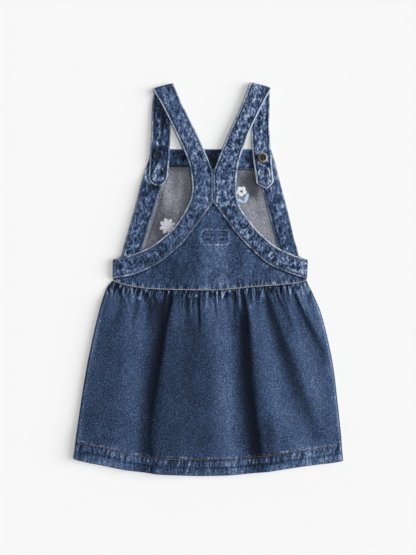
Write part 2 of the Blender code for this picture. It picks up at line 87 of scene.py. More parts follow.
# %% Cloth and layers
CLOTH = 1.3                      # one layer of denim
BAND = 2.4                       # double denim of straps and bands
HEM = 2.6                        # the turned hem
GAP = 0.3                        # between pieces, sideways and upwards
LAYER = CLOTH + GAP
SIDE_TOP = 3.1                   # height of the back skirt at its side seams
HEM_TOP = HEM + GAP + HEM + 0.2
MIDDLE_RISE = 1.9                # how much higher the back lies inside its sides
WAIST_RISE = 1.0                 # and once more at the waist, easing off below it
WAIST_EASE = 60.0
HEM_DEPTH = 22.0                 # what is turned up, and the climb onto it
HEM_EASE = 45.0
SIDE_ROLL = 4.4                  # the cloth rolls over at the side seams
SIDE_EASE = 0.16                 # share of the width that climbs from the side
FOLD_START = 0.12                # shares of the length over which a fold grows and fades
FOLD_FADE = 0.3

# %% Outline of the skirt
# height on the page, left edge, right edge
SKIRT_SIDES = [
    (-265.9, -187, 186.5), (-243, -182.2, 182.2), (-203.2, -176.9, 178.9), (-162.7, -171.3, 174.6),
    (-122.2, -164.6, 169.8), (-95.2, -159.3, 164.8), (-68.2, -153.5, 158.7), (-41.2, -146.8, 151),
    (-27.7, -142.8, 145.1), (-16.9, -138.9, 140.2), (-8.8, -134.8, 135.9), (-1.7, -128.3, 133.2),
]
# place across, place along
WAIST = [
    (-130, -1.8), (-118.8, -6.6), (-105.3, -10.2), (-78.3, -13.7), (-37.8, -15.2), (9.5, -15.6),
    (36.5, -13.6), (63.5, -11), (97.2, -8.4), (124.2, -5.4), (135, -2),
]
HEMLINE = [
    (-182.2, -242.8), (-159.3, -248.4), (-132.3, -253.9), (-105.3, -258.6), (-78.3, -262.1),
    (-37.8, -264.8), (-4.1, -265.9), (43.2, -263.6), (83.7, -259.1), (124.2, -253.6), (158, -249.3),
    (182.2, -245.5),
]
SEAM_START = WAIST[0][0] + 1.4
SEAM_END = WAIST[-1][0] - 1.4
SKIRT_LENGTH = WAIST[5][1] - HEMLINE[6][1]
PANEL_WIDTH, CUT_WIDTH = 370.0, 372.0    # along the hem, as it lies and as it is cut

# %% Folds and gathers of the back skirt
# crest across at the waist, middle and hem, height, width of its left and right slopes,
# start and end along the skirt
FOLDS = [
    ("outer left", -118, -139, -152, 1.6, 9, 14, 0.02, 0.45),
    ("far left", -88, -97, -106, 3.2, 26, 12, 0.03, 1.3),
    ("left", -48, -58, -70, 6.4, 13, 34, 0.02, 1.3),
    ("short", -10, -9, -8, 2.2, 5, 13, 0.02, 0.26),
    ("middle", 20, 25, 30, 3.2, 24, 15, 0.05, 1.3),
    ("right", 54, 64, 76, 7, 14, 32, 0.02, 1.3),
    ("soft", 84, 118, 142, 3.2, 13, 20, 0.05, 0.95),
    ("far right", 116, 152, 172, 3.2, 9, 14, 0.02, 0.45),
]
# place across at the waist, quarter, middle, three quarters and hem, width to the left and
# right, start and end along the skirt, depth, and how much darker: painted shade in the
# trough, with less fading there
VALLEYS = [
    ("left", -47, -61.5, -72.5, -80.5, -78.5, 12, 5.2, -0.06, 1.4, 2, 0.31),
    ("left, broad", -52, -66, -74, -76, -68, 22, 24, -0.02, 1.4, 0.4, 0.15),
    ("right", 47.5, 52.5, 55.5, 62, 72, 15, 6, -0.06, 1.4, 2.2, 0.34),
    ("right, broad", 47, 51, 54, 63, 74, 18, 17, 0.08, 1.4, 0.4, 0.16),
    ("right, inner", 35.5, 37.5, 40, 44, 48, 4.5, 4, -0.06, 0.3, 0.9, 0.34),
    ("soft", 74, 94, 116, 136, 148, 12, 9, -0.06, 0.98, 1.6, 0.35),
    ("soft, short", 87, 115, 132, 140, 150, 6, 5, -0.04, 0.36, 0.8, 0.24),
    ("far right", 110, 138, 168, 190, 200, 7, 6, -0.06, 0.5, 1.3, 0.46),
    ("middle", -29, -27, -22, -16, -12, 16, 14, 0.12, 0.9, 0.5, 0.06),
    ("middle, thin", -29.5, -28.5, -26, -24, -22, 5, 5, -0.04, 0.28, 1, 0.28),
    ("centre, thin", -13, -11.5, -11, -10, -9, 3.6, 3.2, -0.06, 0.34, 1.1, 0.4),
    ("far left", -112, -126, -136, -140, -144, 9, 10, 0, 0.34, 0.8, 0.18),
    ("left, thin", -81, -80, -80, -80, -80, 8, 8, 0, 0.28, 0.9, 0.3),
    ("far left, thin", -93, -103, -110, -115, -120, 6, 6, 0.01, 0.3, 0.8, 0.2),
    ("centre right, thin", 8.5, 9.5, 10, 10, 10, 4, 4, 0, 0.24, 0.8, 0.2),
]
GATHER_COUNT = 36
GATHER_HEIGHT = 1.5
GATHER_REACH = 15.0
STRONG_WIDTH = 5.0
# place across at the seam, height added, how far down they reach
STRONG_GATHERS = [
    (-112, 0.9, 30), (-92, 1, 34), (-76, 0.7, 28), (-51, 1.6, 46), (-29, 0.9, 40), (-12.5, 1.6, 44),
    (10.5, 1, 34), (36, 1.4, 46), (50.5, 1.7, 48), (80, 1.3, 44), (94, 1, 34), (114, 1.5, 44),
]

# %% Rows across the straps
# armhole edge x, y, other edge x, y, middle height, from the side seam to the shoulder
LEFT_BACK = [
    (-128.2, 26.3, -128.2, 0.4, 5.2), (-106, 31.7, -99.9, 6.1, 6.4),
    (-78.3, 43.2, -70.2, 18.9, 6.9), (-55.4, 60.1, -41.9, 40.8, 6.9), (-45.2, 70.9, -29, 54.7, 7),
    (-36.5, 83, -16.2, 70.9, 7.2), (-29, 95.9, -4.7, 87.1, 7.6), (-23.6, 108.7, 6.6, 103, 8),
    (-21.6, 120.8, 6.6, 118.1, 8.2), (-21.9, 132, 6.6, 130, 8.4), (-23.9, 145, 6.6, 143.4, 8.2),
    (-27.7, 161.3, -0.2, 161.7, 7.6), (-42.5, 195.1, -15.5, 196.4, 6.6),
    (-61.9, 234, -34.5, 234, 6.5), (-73.1, 253, -46.1, 260.4, 6.4),
]
RIGHT_BACK = [
    (134.6, 25.7, 133.4, 0, 4.6), (115.4, 32.4, 109.4, 7.8, 4.8), (91.1, 43.9, 80.3, 20.7, 5.4),
    (69.5, 62.1, 54, 43.9, 6.3), (59.4, 73.6, 41.2, 57.4, 6.8), (50, 85.7, 28.4, 73.6, 7.2),
    (42.5, 97.9, 17.6, 88, 7.6), (38.9, 109.4, 6.9, 103, 8), (37.8, 122.2, 6.9, 118.1, 8.2),
    (38.1, 133.3, 6.9, 130, 8.4), (39.4, 146.4, 6.9, 143.4, 8.2), (42.5, 161.3, 13.9, 162, 7.7),
    (54.4, 195.1, 27.7, 195.1, 6.8), (73, 234, 45.6, 234.8, 6.5), (83.9, 254.2, 55.6, 261.7, 6.4),
]
CENTRE_ROWS = (7, 10)            # where the other edge turns a corner: apex and V
FOLD_REACH = 4.4
BAND_WIDTH = 26.0

# the same columns, from the shoulder to the tab
LEFT_FRONT = [
    (-73.1, 253, -46.1, 260.4, 1.8), (-75.4, 234, -48.6, 236, 3.2), (-76, 213, -50, 214, 4.2),
    (-76.4, 196, -50.6, 197, 4.8), (-77.4, 180, -51.3, 181, 4.8), (-78.7, 164, -52.2, 164, 4.4),
    (-79.8, 147, -53.6, 147, 4.4), (-80.3, 136.5, -54.6, 138, 4.4),
    (-77.2, 130.3, -58.6, 130.3, 4.4), (-70.6, 126, -64.6, 126, 4.4),
]
RIGHT_FRONT = [
    (83.9, 254.2, 55.6, 261.7, 1.2), (83.3, 234, 57.4, 236, 1.2), (83, 213, 57.7, 213, 1.25),
    (83.4, 196, 58.2, 197, 1.5), (84.1, 180, 58.8, 181, 4.1), (85.7, 164, 60.4, 164, 4.4),
    (86.6, 149, 62.7, 148, 4.4), (88, 135.5, 64.7, 133.5, 4.4), (88, 130, 65.9, 128.6, 4.4),
    (80.4, 122.2, 77.4, 121.9, 4.4),
]

# %% Outline of the bib and what is sewn to its inside
# height on the page, left edge, right edge
BIB_SIDES = [
    (-1.7, -128, 133.2), (12.8, -128.2, 133.8), (25, -128.2, 134.4), (27.8, -122, 128),
    (31, -117.8, 122.6), (39.8, -115, 120.2), (56, -110.4, 115.4), (80.3, -103.3, 110),
    (107.3, -95.9, 103.2), (134.3, -88.9, 96), (151, -83.7, 92.2), (164, -79.7, 88.6),
    (175.5, -77, 85.1),
]
SIDES = (("left", -1), ("right", 1))
BIB_TOP = 175.5
BIB_BAND_END = 24.0
FACING_EDGE = [(-90.0, 150.5), (-30.0, 151.0), (30.0, 147.6), (100.0, 145.2)]
# height on the page, inner edge of the left band, of the right band
BIB_BAND_EDGES = [
    (20, -96.5, 100.5), (39.8, -90.5, 95.3), (66.8, -81.7, 87.8), (97.9, -71.6, 79.7),
    (126.2, -63.5, 71.6), (152, -57.5, 66),
]
TAB_PLACE = 75.0


# %% Smooth lines through the rows
def hermite(start, end, start_slope, end_slope, t):
    """Cubic from start to end with the given slopes."""
    return (
        (2 * t ** 3 - 3 * t ** 2 + 1) * start
        + (t ** 3 - 2 * t ** 2 + t) * start_slope
        + (3 * t ** 2 - 2 * t ** 3) * end
        + (t ** 3 - t ** 2) * end_slope
    )


def smooth_at(table, key, column=1):
    """Values of a table's column at an array of keys."""
    keys = np.array([row[0] for row in table])
    values = np.array([row[column] for row in table])
    every = np.arange(len(keys))
    low, high = np.maximum(every - 1, 0), np.minimum(every + 1, len(keys) - 1)
    slopes = (values[high] - values[low]) / (keys[high] - keys[low])
    i = np.clip(np.searchsorted(keys, key, side="right") - 1, 0, len(keys) - 2)
    span = keys[i + 1] - keys[i]
    t = (key - keys[i]) / span
    return hermite(values[i], values[i + 1], slopes[i] * span, slopes[i + 1] * span, t)


def edges_at(table, y):
    """A table's left and right edge at heights on the page."""
    return smooth_at(table, y, 1), smooth_at(table, y, 2)


def along_rows(rows, column, place, corners=()):
    """Values of a column at places counted in rows, smooth but at the corner rows."""
    values = np.array([row[column] for row in rows])
    last = len(rows) - 1
    i = np.clip(np.asarray(place).astype(int), 0, last - 1)
    start, end = values[i], values[i + 1]
    goes_back = (i > 0) & ~np.isin(i, corners)
    goes_on = (i + 2 <= last) & ~np.isin(i + 1, corners)
    before = np.where(goes_back, values[np.maximum(i - 1, 0)], 2 * start - end)
    after = np.where(goes_on, values[np.minimum(i + 2, last)], 2 * end - start)
    return hermite(start, end, (end - before) / 2, (after - start) / 2, place - i)


def ease(low, high, value):
    """0 below low, 1 above high, smooth between."""
    t = np.clip((value - low) / (high - low), 0.0, 1.0)
    return t * t * (3 - 2 * t)


def bump_at(value, centre, width):
    """1 at the centre and soft to both sides."""
    return np.exp(-((value - centre) / width) ** 2)


print("waist at the middle:", round(float(smooth_at(WAIST, np.array(2.0))), 2))

# %% [markdown]
# ## Uneven cloth
#
# Nothing on washed cloth repeats exactly. Smooth noise read along and across each piece
# gives the small unevenness, and always the same one. The large creases are listed in
# tables: each is a soft ridge or trough along a bowed line.


# %% Noise, ridges and creases
def noise_field(across, along, seed):
    """Smooth noise, about -0.7 to 0.7, at arrays of places."""
    flat = [noise.noise(Vector((a, b, seed))) for a, b in zip(across.ravel(), along.ravel())]
    return np.array(flat).reshape(across.shape)


def ridge_field(across, along, seed):
    """Thin wandering crests: 1 on a crest, falling to 0."""
    return np.clip(1 - 4.5 * np.abs(noise_field(across, along, seed)), 0, 1) ** 1.3


def soften(field, down, side):
    """The field blurred over so many rows and columns."""
    for axis, reach in ((0, down), (1, side)):
        if reach < 1:
            continue
        weights = np.exp(-np.linspace(-2, 2, 2 * reach + 1) ** 2)
        padded = np.pad(field, [(reach, reach) if a == axis else (0, 0) for a in (0, 1)], "edge")
        field = np.apply_along_axis(np.convolve, axis, padded, weights / weights.sum(), "valid")
    return field


def creases(x, y, table):
    """Height of the creases in a table: from x, y, to x, y, bow, height, width."""
    height = np.zeros_like(x)
    for x0, y0, x1, y1, bow, tall, width in table:
        length = math.hypot(x1 - x0, y1 - y0)
        along_x, along_y = (x1 - x0) / length, (y1 - y0) / length
        t = ((x - x0) * along_x + (y - y0) * along_y) / length
        aside = (y - y0) * along_x - (x - x0) * along_y
        inside = ease(0.0, 0.3, t) * (1 - ease(0.65, 1.0, t))
        height += tall * inside * bump_at(aside, bow * 4 * t * (1 - t), width)
    return height


def hold_back(fade_and_shade, level, slope):
    """The fade and painted shade with its brightest spots held back."""
    return np.minimum(fade_and_shade, level + slope * fade_and_shade)


def tones(x, y, table):
    """Sum of the soft patches in a table: x, y, half width, half height, amount."""
    tone = np.zeros_like(x)
    for centre_x, centre_y, wide, tall, amount in table:
        tone += amount * bump_at(x, centre_x, wide) * bump_at(y, centre_y, tall)
    return tone


# %% [markdown]
# ## A sheet of cloth
#
# One operator makes a flat grid. A function for each piece then says where every vertex of
# the grid goes, how faded the cloth is there together with the painted shade and painted
# light on its folds, and where the point was on the flat cut, so that the weave follows the
# cloth. Solidify gives the sheet its thickness downwards and its grey reverse.

# %% Grid of cloth
pieces = {}
MERGE_DISTANCE = 1e-6            # in metres


def shares(columns, rows):
    """Shares from 0 to 1 across and along, for every vertex of a grid."""
    return np.meshgrid(np.linspace(0, 1, columns + 1), np.linspace(0, 1, rows + 1))


def mapped_grid(columns, rows, points, fade_and_shade, flat):
    """Grid bmesh whose vertices go to points, with their fading and painted shade, and their place
    on the flat cut.
    """
    mesh = bmesh.new()
    fade_and_shade_layer = mesh.verts.layers.float.new("fade_and_shade")
    flat_layer = mesh.loops.layers.uv.new("cloth")
    bmesh.ops.create_grid(mesh, x_segments=columns, y_segments=rows, size=0.5)
    where = {}
    for vert in mesh.verts:
        i, j = round((vert.co.x + 0.5) * columns), round((vert.co.y + 0.5) * rows)
        where[vert.index] = (j, i)
        vert.co = Vector(points[j, i]) * MM
        vert[fade_and_shade_layer] = fade_and_shade[j, i]
    for face in mesh.faces:
        face.smooth = True
        for loop in face.loops:
            loop[flat_layer].uv = Vector(flat[where[loop.vert.index]]) * MM
    return mesh, where


def face_up(mesh):
    """Turn the faces over if they look down on the whole."""
    mesh.normal_update()
    if sum(face.normal.z for face in mesh.faces) < 0:
        bmesh.ops.reverse_faces(mesh, faces=mesh.faces[:])


def nowhere(across, along):
    """0 all over: no part of the cloth is turned up."""
    return 0 * across


def cloth(name, columns, rows, place, finishes, thickness=CLOTH, doubled=nowhere):
    """Sheet of cloth whose vertices place() puts, and its solid wall below."""
    across, along = shares(columns, rows)
    x, y, z, fade_and_shade, warp, weft = place(across, along)
    points, flat = np.stack([x, y, z], -1), np.stack([warp, weft], -1)
    mesh, where = mapped_grid(columns, rows, points, fade_and_shade, flat)
    face_up(mesh)
    thing = finish_piece(name, mesh, finishes)
    layers = thing.vertex_groups.new(name="layers")
    single = CLOTH / thickness
    folded = doubled(across, along)
    for index, (j, i) in where.items():
        layers.add([index], single + (1 - single) * folded[j, i], "REPLACE")
    wall = thing.modifiers.new("wall", "SOLIDIFY")
    wall.thickness = thickness * MM
    wall.offset = -1
    wall.vertex_group = layers.name
    wall.material_offset = 1
    wall.material_offset_rim = 0
    return thing


def close_up(mesh, capped=True):
    """Merge a grid's doubled line, cap its open ends and turn its faces outwards."""
    bmesh.ops.remove_doubles(mesh, verts=mesh.verts[:], dist=MERGE_DISTANCE)
    if capped:
        bmesh.ops.holes_fill(mesh, edges=[e for e in mesh.edges if e.is_boundary], sides=0)
    bmesh.ops.recalc_face_normals(mesh, faces=mesh.faces[:])


def finish_piece(name, mesh, finishes):
    """Turn a bmesh into a named piece with its finishes, riding on the dress."""
    data = bpy.data.meshes.new(name)
    mesh.to_mesh(data)
    mesh.free()
    for finish in finishes:
        data.materials.append(finish)
    thing = add_object(name, data)
    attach(thing, "root")
    pieces[name] = thing
    print(name, "has", len(data.polygons), "faces")
    return thing


# %% [markdown]
# ## Finishes
#
# A material is written as sums. `Amount` is a number that varies over a surface, and
# Python's operators on it add Math nodes. Denim starts from how faded the cloth is at a
# point, with the painted shade and painted light held in the same number, adds clouds,
# slubs along the warp, flecks and the twill's diagonal, and turns the result into a colour
# between raw indigo and bare white cotton.


# %% Sums in a material
class Amount:
    """A number that varies over a surface, as a node's output."""

    def __init__(self, finish, socket):
        self.finish = finish
        self.socket = socket

    def maths(self, operation, *values):
        inputs = dict(enumerate(values))
        return self.finish.node("ShaderNodeMath", {"operation": operation}, inputs)

    def __add__(self, other):
        return self.maths("ADD", self, other)

    def __sub__(self, other):
        return self.maths("SUBTRACT", self, other)

    def __mul__(self, other):
        return self.maths("MULTIPLY", self, other)

    def sine(self):
        return self.maths("SINE", self)


class Finish:
    """A material on a Principled shader."""

    def __init__(self, name):
        self.material = bpy.data.materials.new(name)
        self.material.use_nodes = True
        self.tree = self.material.node_tree
        self.shader = self.tree.nodes["Principled BSDF"]

    def node(self, kind, settings, inputs, output=0):
        """Add a node: its settings first, then the values or links of its sockets."""
        node = self.tree.nodes.new(kind)
        for name, value in settings.items():
            setattr(node, name, value)
        for key, value in inputs.items():
            self.put(node.inputs[key], value)
        return Amount(self, node.outputs[output])

    def put(self, socket, value):
        if isinstance(value, Amount):
            self.tree.links.new(value.socket, socket)
        else:
            socket.default_value = value

    def shade(self, **values):
        """Set or link the shader's sockets, named with _ for a space."""
        for name, value in values.items():
            self.put(self.shader.inputs[name.replace("_", " ")], value)
        return self.material

    def worn(self):
        """How faded the piece is at a point, with its painted shade and painted light."""
        return self.node("ShaderNodeAttribute", {"attribute_name": "fade_and_shade"}, {}, "Fac")

    def ramp(self, stops, amount):
        """Colour at an amount between the stops."""
        ramp = self.node("ShaderNodeValToRGB", {}, {"Fac": amount}, "Color")
        elements = ramp.socket.node.color_ramp.elements
        elements.remove(elements[-1])
        elements[0].position, elements[0].color = stops[0][0], (*stops[0][1], 1)
        for position, colour in stops[1:]:
            elements.new(position).color = (*colour, 1)
        return ramp

    def flat_cloth(self, wide, long, lean=0.0):
        """Place on the flat cut, scaled for a pattern of wide by long millimetres."""
        place = self.node("ShaderNodeUVMap", {"uv_map": "cloth"}, {})
        settings = {"vector_type": "TEXTURE"}
        scale = (wide * MM, long * MM, 1.0)
        turned = {"Vector": place, "Rotation": (0.0, 0.0, lean), "Scale": scale}
        return self.node("ShaderNodeMapping", settings, turned)

    def speckle(self, wide, long, detail=2.0, rough=0.5):
        """Noise between about -0.5 and 0.5, its spots wide by long millimetres."""
        inputs = {
            "Vector": self.flat_cloth(wide, long), "Scale": 1.0,
            "Detail": detail, "Roughness": rough,
        }
        return self.node("ShaderNodeTexNoise", {"noise_dimensions": "2D"}, inputs) - 0.5


# %% Colours of the cloth, from raw to worn
INDIGO = [
    (0.00, (0.0050, 0.0088, 0.0185)),
    (0.22, (0.0158, 0.0282, 0.0570)),
    (0.45, (0.0405, 0.0762, 0.1660)),
    (0.65, (0.0900, 0.1435, 0.2650)),
    (0.85, (0.230, 0.302, 0.430)),
    (1.00, (0.480, 0.540, 0.640)),
]
REVERSE = [
    (0.0, (0.055, 0.058, 0.074)),
    (0.4, (0.155, 0.161, 0.192)),
    (0.7, (0.265, 0.273, 0.315)),
    (1.0, (0.420, 0.428, 0.470)),
]
TWILL_PITCH = 2.3                # from one diagonal of the weave to the next
TWILL_LEAN = math.radians(52)


def denim(name, stops, base, clouds, flecks, twill):
    """Washed denim twill: how faded it is follows the sheet's own fade and painted shade."""
    finish = Finish(name)
    wander = finish.speckle(30.0, 30.0) * 3.0
    across = finish.flat_cloth(TWILL_PITCH, TWILL_PITCH, TWILL_LEAN)
    across = finish.node("ShaderNodeSeparateXYZ", {}, {"Vector": across}, "X")
    diagonal = ((across + wander) * (2 * math.pi)).sine()
    fleck = finish.speckle(0.9, 2.6, 2.0, 0.7) + finish.speckle(2.4, 0.9, 2.0, 0.7)
    fleck = fleck * 0.8
    slub = finish.speckle(1.6, 12.0, 2.0, 0.6) + finish.speckle(9.0, 1.5, 2.0, 0.6)
    cloud = finish.speckle(26.0, 38.0) + finish.speckle(7.0, 10.0) * 0.7
    amount = finish.worn() + base + cloud * clouds + fleck * flecks + slub * (0.22 * flecks)
    amount = amount + diagonal * twill
    colour = finish.ramp(stops, amount)
    relief = diagonal * 0.35 + fleck * 1.6 + slub * 0.7
    inputs = {"Strength": 0.35, "Distance": 0.25 * MM, "Height": relief}
    normal = finish.node("ShaderNodeBump", {}, inputs)
    return finish.shade(
        Base_Color=colour, Roughness=0.9, Specular_IOR_Level=0.15, Normal=normal
    )


# name, colours, how worn, clouds, flecks, twill
denim_face = denim("denim", INDIGO, 0.368, 0.14, 1.35, 0.05)
denim_band = denim("denim_band", INDIGO, 0.415, 0.16, 1.1, 0.03)
denim_reverse = denim("denim_reverse", REVERSE, 0.47, 0.16, 1.7, 0.05)
print("denim has", len(denim_face.node_tree.nodes), "nodes")

# %% [markdown]
# ## Back of the skirt
#
# The back is a wide panel gathered into the waist. Close to the seam it stands up in many
# small tucks; a few strong ones run on down, and two large folds reach the hem. Each large
# fold drops steeply on its left, where the cloth is darker from painted shade and less
# fading, and slopes gently away on its right. The fine sheet follows the solid's form and
# adds what the photograph shows.


# %% Form of the skirt
def waist_side(x):
    """Height on the page of the skirt's upper edge."""
    return smooth_at(WAIST, x) - GAP


def back_distance(along):
    """Distance down the back panel: its rows lie closer near the gathers."""
    return SKIRT_LENGTH * (0.55 * along + 0.45 * along ** 1.7)


def skirt_place(fraction, down, shorter=0.0):
    """Place on the page of a point of the skirt, from 0 to 1 across and down."""
    waist_y = waist_side(SEAM_START + fraction * (SEAM_END - SEAM_START))
    hem_x = HEMLINE[0][0] + fraction * (HEMLINE[-1][0] - HEMLINE[0][0])
    hem_y = smooth_at(HEMLINE, hem_x) + shorter
    y = waist_y + (hem_y - waist_y) * down
    left_y = waist_side(SEAM_START) * (1 - down) + HEMLINE[0][1] * down
    right_y = waist_side(SEAM_END) * (1 - down) + HEMLINE[-1][1] * down
    left = smooth_at(SKIRT_SIDES, left_y, 1)
    right = smooth_at(SKIRT_SIDES, right_y, 2)
    return left + fraction * (right - left), y


def path_shape(x, down, places, left, right, start, end):
    """1 on a path down the skirt and soft to its left and right."""
    path = along_rows([(place,) for place in places], 0, (len(places) - 1) * down)
    aside = x - path
    width = np.where(aside < 0, left, right)
    grown = ease(start, start + FOLD_START, down) * (1 - ease(end - FOLD_FADE, end, down))
    return bump_at(aside, 0.0, width) * grown


def fold_height(x, down):
    """Height of the large folds."""
    height = np.zeros_like(x)
    for _, at_waist, at_middle, at_hem, tall, *widths_and_ends in FOLDS:
        height += tall * path_shape(x, down, (at_waist, at_middle, at_hem), *widths_and_ends)
    return height


def valley_shapes(x, down):
    """Depth of the folds' valleys, and how much darker they are painted: painted shade, with less
    fading.
    """
    depth, dark = np.zeros_like(x), np.zeros_like(x)
    for _, *row in VALLEYS:
        wider = 0.4 + 0.6 * ease(0.0, 0.45, down)
        shape = path_shape(x, down, row[0:5], row[5] * wider, row[6] * wider, *row[7:9])
        depth += row[9] * shape
        dark += row[10] * shape
    return depth, dark


def uneven(i, spread, turn, shift=0.0):
    """1 with a spread that changes from one gather to the next."""
    return 1 + spread * np.sin(turn * i + shift)


def gathers(fraction, distance):
    """Height of the waist's gathers, and the same from 0 to 1."""
    i = np.arange(GATHER_COUNT)
    widths = uneven(i, 0.26, 1.9) * uneven(i, 0.16, 4.7, 1.0)
    ends = np.cumsum(widths) / widths.sum()
    starts = ends - widths / widths.sum()
    middles = SEAM_START + (starts + ends) / 2 * (SEAM_END - SEAM_START)
    height = GATHER_HEIGHT * uneven(i, 0.3, 2.7)
    reach = GATHER_REACH * uneven(i, 0.4, 1.3)
    for place, more, further in STRONG_GATHERS:
        near = bump_at(middles, place, STRONG_WIDTH)
        height = height + more * near
        reach = reach + (further - GATHER_REACH) * near
    at = np.clip(np.searchsorted(ends, fraction), 0, GATHER_COUNT - 1)
    share = np.clip((fraction - starts[at]) / (ends[at] - starts[at]), 0, 1)
    wave = (0.5 - 0.5 * np.cos(2 * math.pi * share)) ** 0.9
    dying = bump_at(distance, 0.0, reach[at])
    grown = 0.45 + 0.55 * ease(0.0, 6.0, distance)
    return height[at] * (dying * grown) * wave, wave * dying


# %% Small creases of the back skirt
# from x, y, to x, y, bow, height, width
SKIRT_CREASES = [
    (-110.7, -15, -121.5, -52, 1, -0.9, 3), (-91.8, -18, -104, -60, 1.5, -1, 3.2),
    (-81, -15, -79.7, -52, 0.5, -0.8, 2.6), (-98, -15, -106, -36, 0, 0.9, 2.6),
    (-122, -10, -132, -34, -1, 0.8, 2.8), (-29.7, -14, -25.7, -76, 1, -1, 2.8),
    (-13.5, -14, -12.2, -72, 0.5, -1.2, 2.2), (-37, -14, -38, -48, 0, 0.7, 3),
    (9.5, -16, 9.5, -60, 0, -1, 2.6), (22, -14, 24, -50, 0.5, -0.7, 2.8),
    (41.9, -12, 43, -50, 0, 1.3, 2), (64.8, -12, 67, -40, 0, -0.9, 2.6),
    (91.8, -10, 112, -66, 2, -1.1, 3), (102, -9, 122, -60, 2, 0.7, 3.4),
    (110.7, -9, 140, -66, 3, -1, 2.6), (124.2, -6, 134, -30, 1.5, -0.9, 2.4),
    (-150, -120, -128, -190, 5, 0.6, 12), (-160, -150, -150, -225, -3, 0.5, 9),
    (-40, -100, -48, -215, 3, 0.6, 10), (-2, -90, 2, -230, -3, -0.9, 11),
    (96, -120, 106, -235, -4, -0.8, 10), (122, -150, 128, -238, 3, 0.7, 9),
    (146, -210.5, 160, -213, 0.6, -0.7, 1.6), (150, -206, 164, -208.5, 0.6, 0.5, 2.4),
    (-168, -196, -120, -212, -2, 0.45, 5), (60, -190, 120, -176, 3, 0.35, 6),
]
# x, y, half width, half height, amount: patches of fading, painted shade and painted light
SKIRT_TONES = [
    (10, -60, 8, 50, 0.1), (12, -160, 8, 80, 0.05), (82, -210, 9, 44, -0.17),
    (124, -200, 20, 46, 0.09), (138, -236, 32, 14, 0.15), (112, -180, 50, 90, 0.05),
    (-158, -205, 16, 40, -0.11), (28, -200, 8, 80, 0.07), (-42, -62, 6, 22, 0.1),
    (-62, -18, 16, 14, -0.14), (-70, -40, 11, 26, -0.13), (-33, -32, 6, 16, -0.08),
    (42, -32, 1.6, 14, 0.26), (62, -72, 9, 26, 0.06), (67, -38, 5, 18, -0.1), (22, -30, 6, 16, 0.1),
    (-73, -20, 5, 9, 0.1), (-127, -8, 7, 7, -0.4), (-96, -13, 16, 4, -0.12),
    (-145, -250, 26, 5, 0.14), (-54, -14, 8, 5, -0.12), (-22, -22, 7, 10, -0.12),
    (66, -22, 5, 10, -0.14), (101, -20, 6, 12, -0.1), (0, -30, 4, 6, -0.08),
    (-40, -11, 36, 4, -0.1), (10, -22, 13, 5, 0.12), (128, -14, 13, 8, 0.12),
    (104, -62, 6, 16, -0.07), (84, -42, 6, 14, -0.06), (94, -248, 20, 4, -0.12),
    (-65, -249, 5, 6, -0.1), (-85, -258, 8, 5, -0.1), (-174, -238, 6, 5, -0.14),
    (-130, -256, 24, 4, 0.14), (-45, -11, 6, 4, -0.2), (-8, -12, 7, 4, -0.15), (9, -16, 5, 5, 0.12),
    (101, -12, 5, 5, -0.22), (120, -16, 4, 7, 0.22), (-156, -70, 7, 45, 0.12),
    (66, -140, 4, 50, -0.06), (84, -205, 8, 26, -0.07), (104, -225, 8, 10, -0.08),
    (-78, -222, 5, 20, 0.08), (-18, -69, 6, 20, -0.07), (-81, -69, 8, 20, -0.04),
    (131, -30, 6, 14, 0.08), (165, -115, 5, 20, 0.08), (112, -235, 14, 8, -0.1),
    (130, -82, 7, 24, 0.09), (130, -12, 8, 10, 0.18), (-126, -8, 8, 6, -0.18),
    (-98, -15, 9, 6, -0.1), (-24, -14, 9, 6, -0.1), (114, -17, 6, 10, 0.22),
    (73, -24, 3.5, 9, 0.12), (3, -55, 5, 22, 0.09), (-38, -95, 9, 36, 0.05),
    (-18, -145, 11, 50, 0.05), (110, -68, 5, 13, -0.1), (153, -108, 5, 13, -0.12),
    (149, -150, 7, 22, 0.09), (136, -205, 7, 18, 0.08), (152, -232, 8, 10, 0.1),
    (176, -222, 5, 18, -0.12), (71, -190, 5, 42, -0.07), (90, -240, 16, 9, -0.14),
    (-65, -243, 5, 9, -0.18), (-95, -255, 10, 5, -0.16), (-80, -205, 6, 22, 0.05),
    (-82, -215, 6, 60, 0.14), (-50, -215, 12, 36, -0.07), (122, -40, 10, 34, 0.1),
    (95, -45, 9, 26, -0.09), (151, -54, 9, 28, 0.13), (34, -65, 4.5, 30, -0.12),
    (-66, -38, 12, 26, -0.12), (-163, -231, 12, 9, -0.14), (-128, -233, 12, 8, 0.2),
    (-146, -130, 26, 90, -0.12), (-126, -82, 14, 28, -0.07), (-101, -120, 12, 80, 0.06),
    (-24, -130, 32, 110, -0.19), (-42, -90, 12, 60, -0.03), (22, -150, 14, 95, 0.09),
    (84, -150, 18, 80, 0.06), (140, -120, 12, 60, 0.08), (152, -190, 14, 50, 0.05),
    (-152, -50, 6, 24, 0.06), (26, -22, 5, 6, 0.1), (-145, -246, 30, 10, 0.05),
    (-20, -222, 60, 22, -0.04), (112, -220, 30, 20, -0.05), (-152, -228, 30, 22, -0.03),
]

# %% Hem of the skirt
HEM_STITCH = [
    (-178.2, -220.7), (-159.3, -224.1), (-139.1, -228.2), (-118.8, -232.9), (-98.6, -237.6),
    (-78.3, -241), (-58.1, -242.3), (-24.3, -243.7), (9.5, -243.7), (43.2, -241.7), (77, -238.3),
    (110.7, -233.6), (144.5, -228.8), (164.7, -226.1), (179.6, -222.8),
]
HEM_CREASE = 11.5                # from the hem's stitches to the crease along the hem


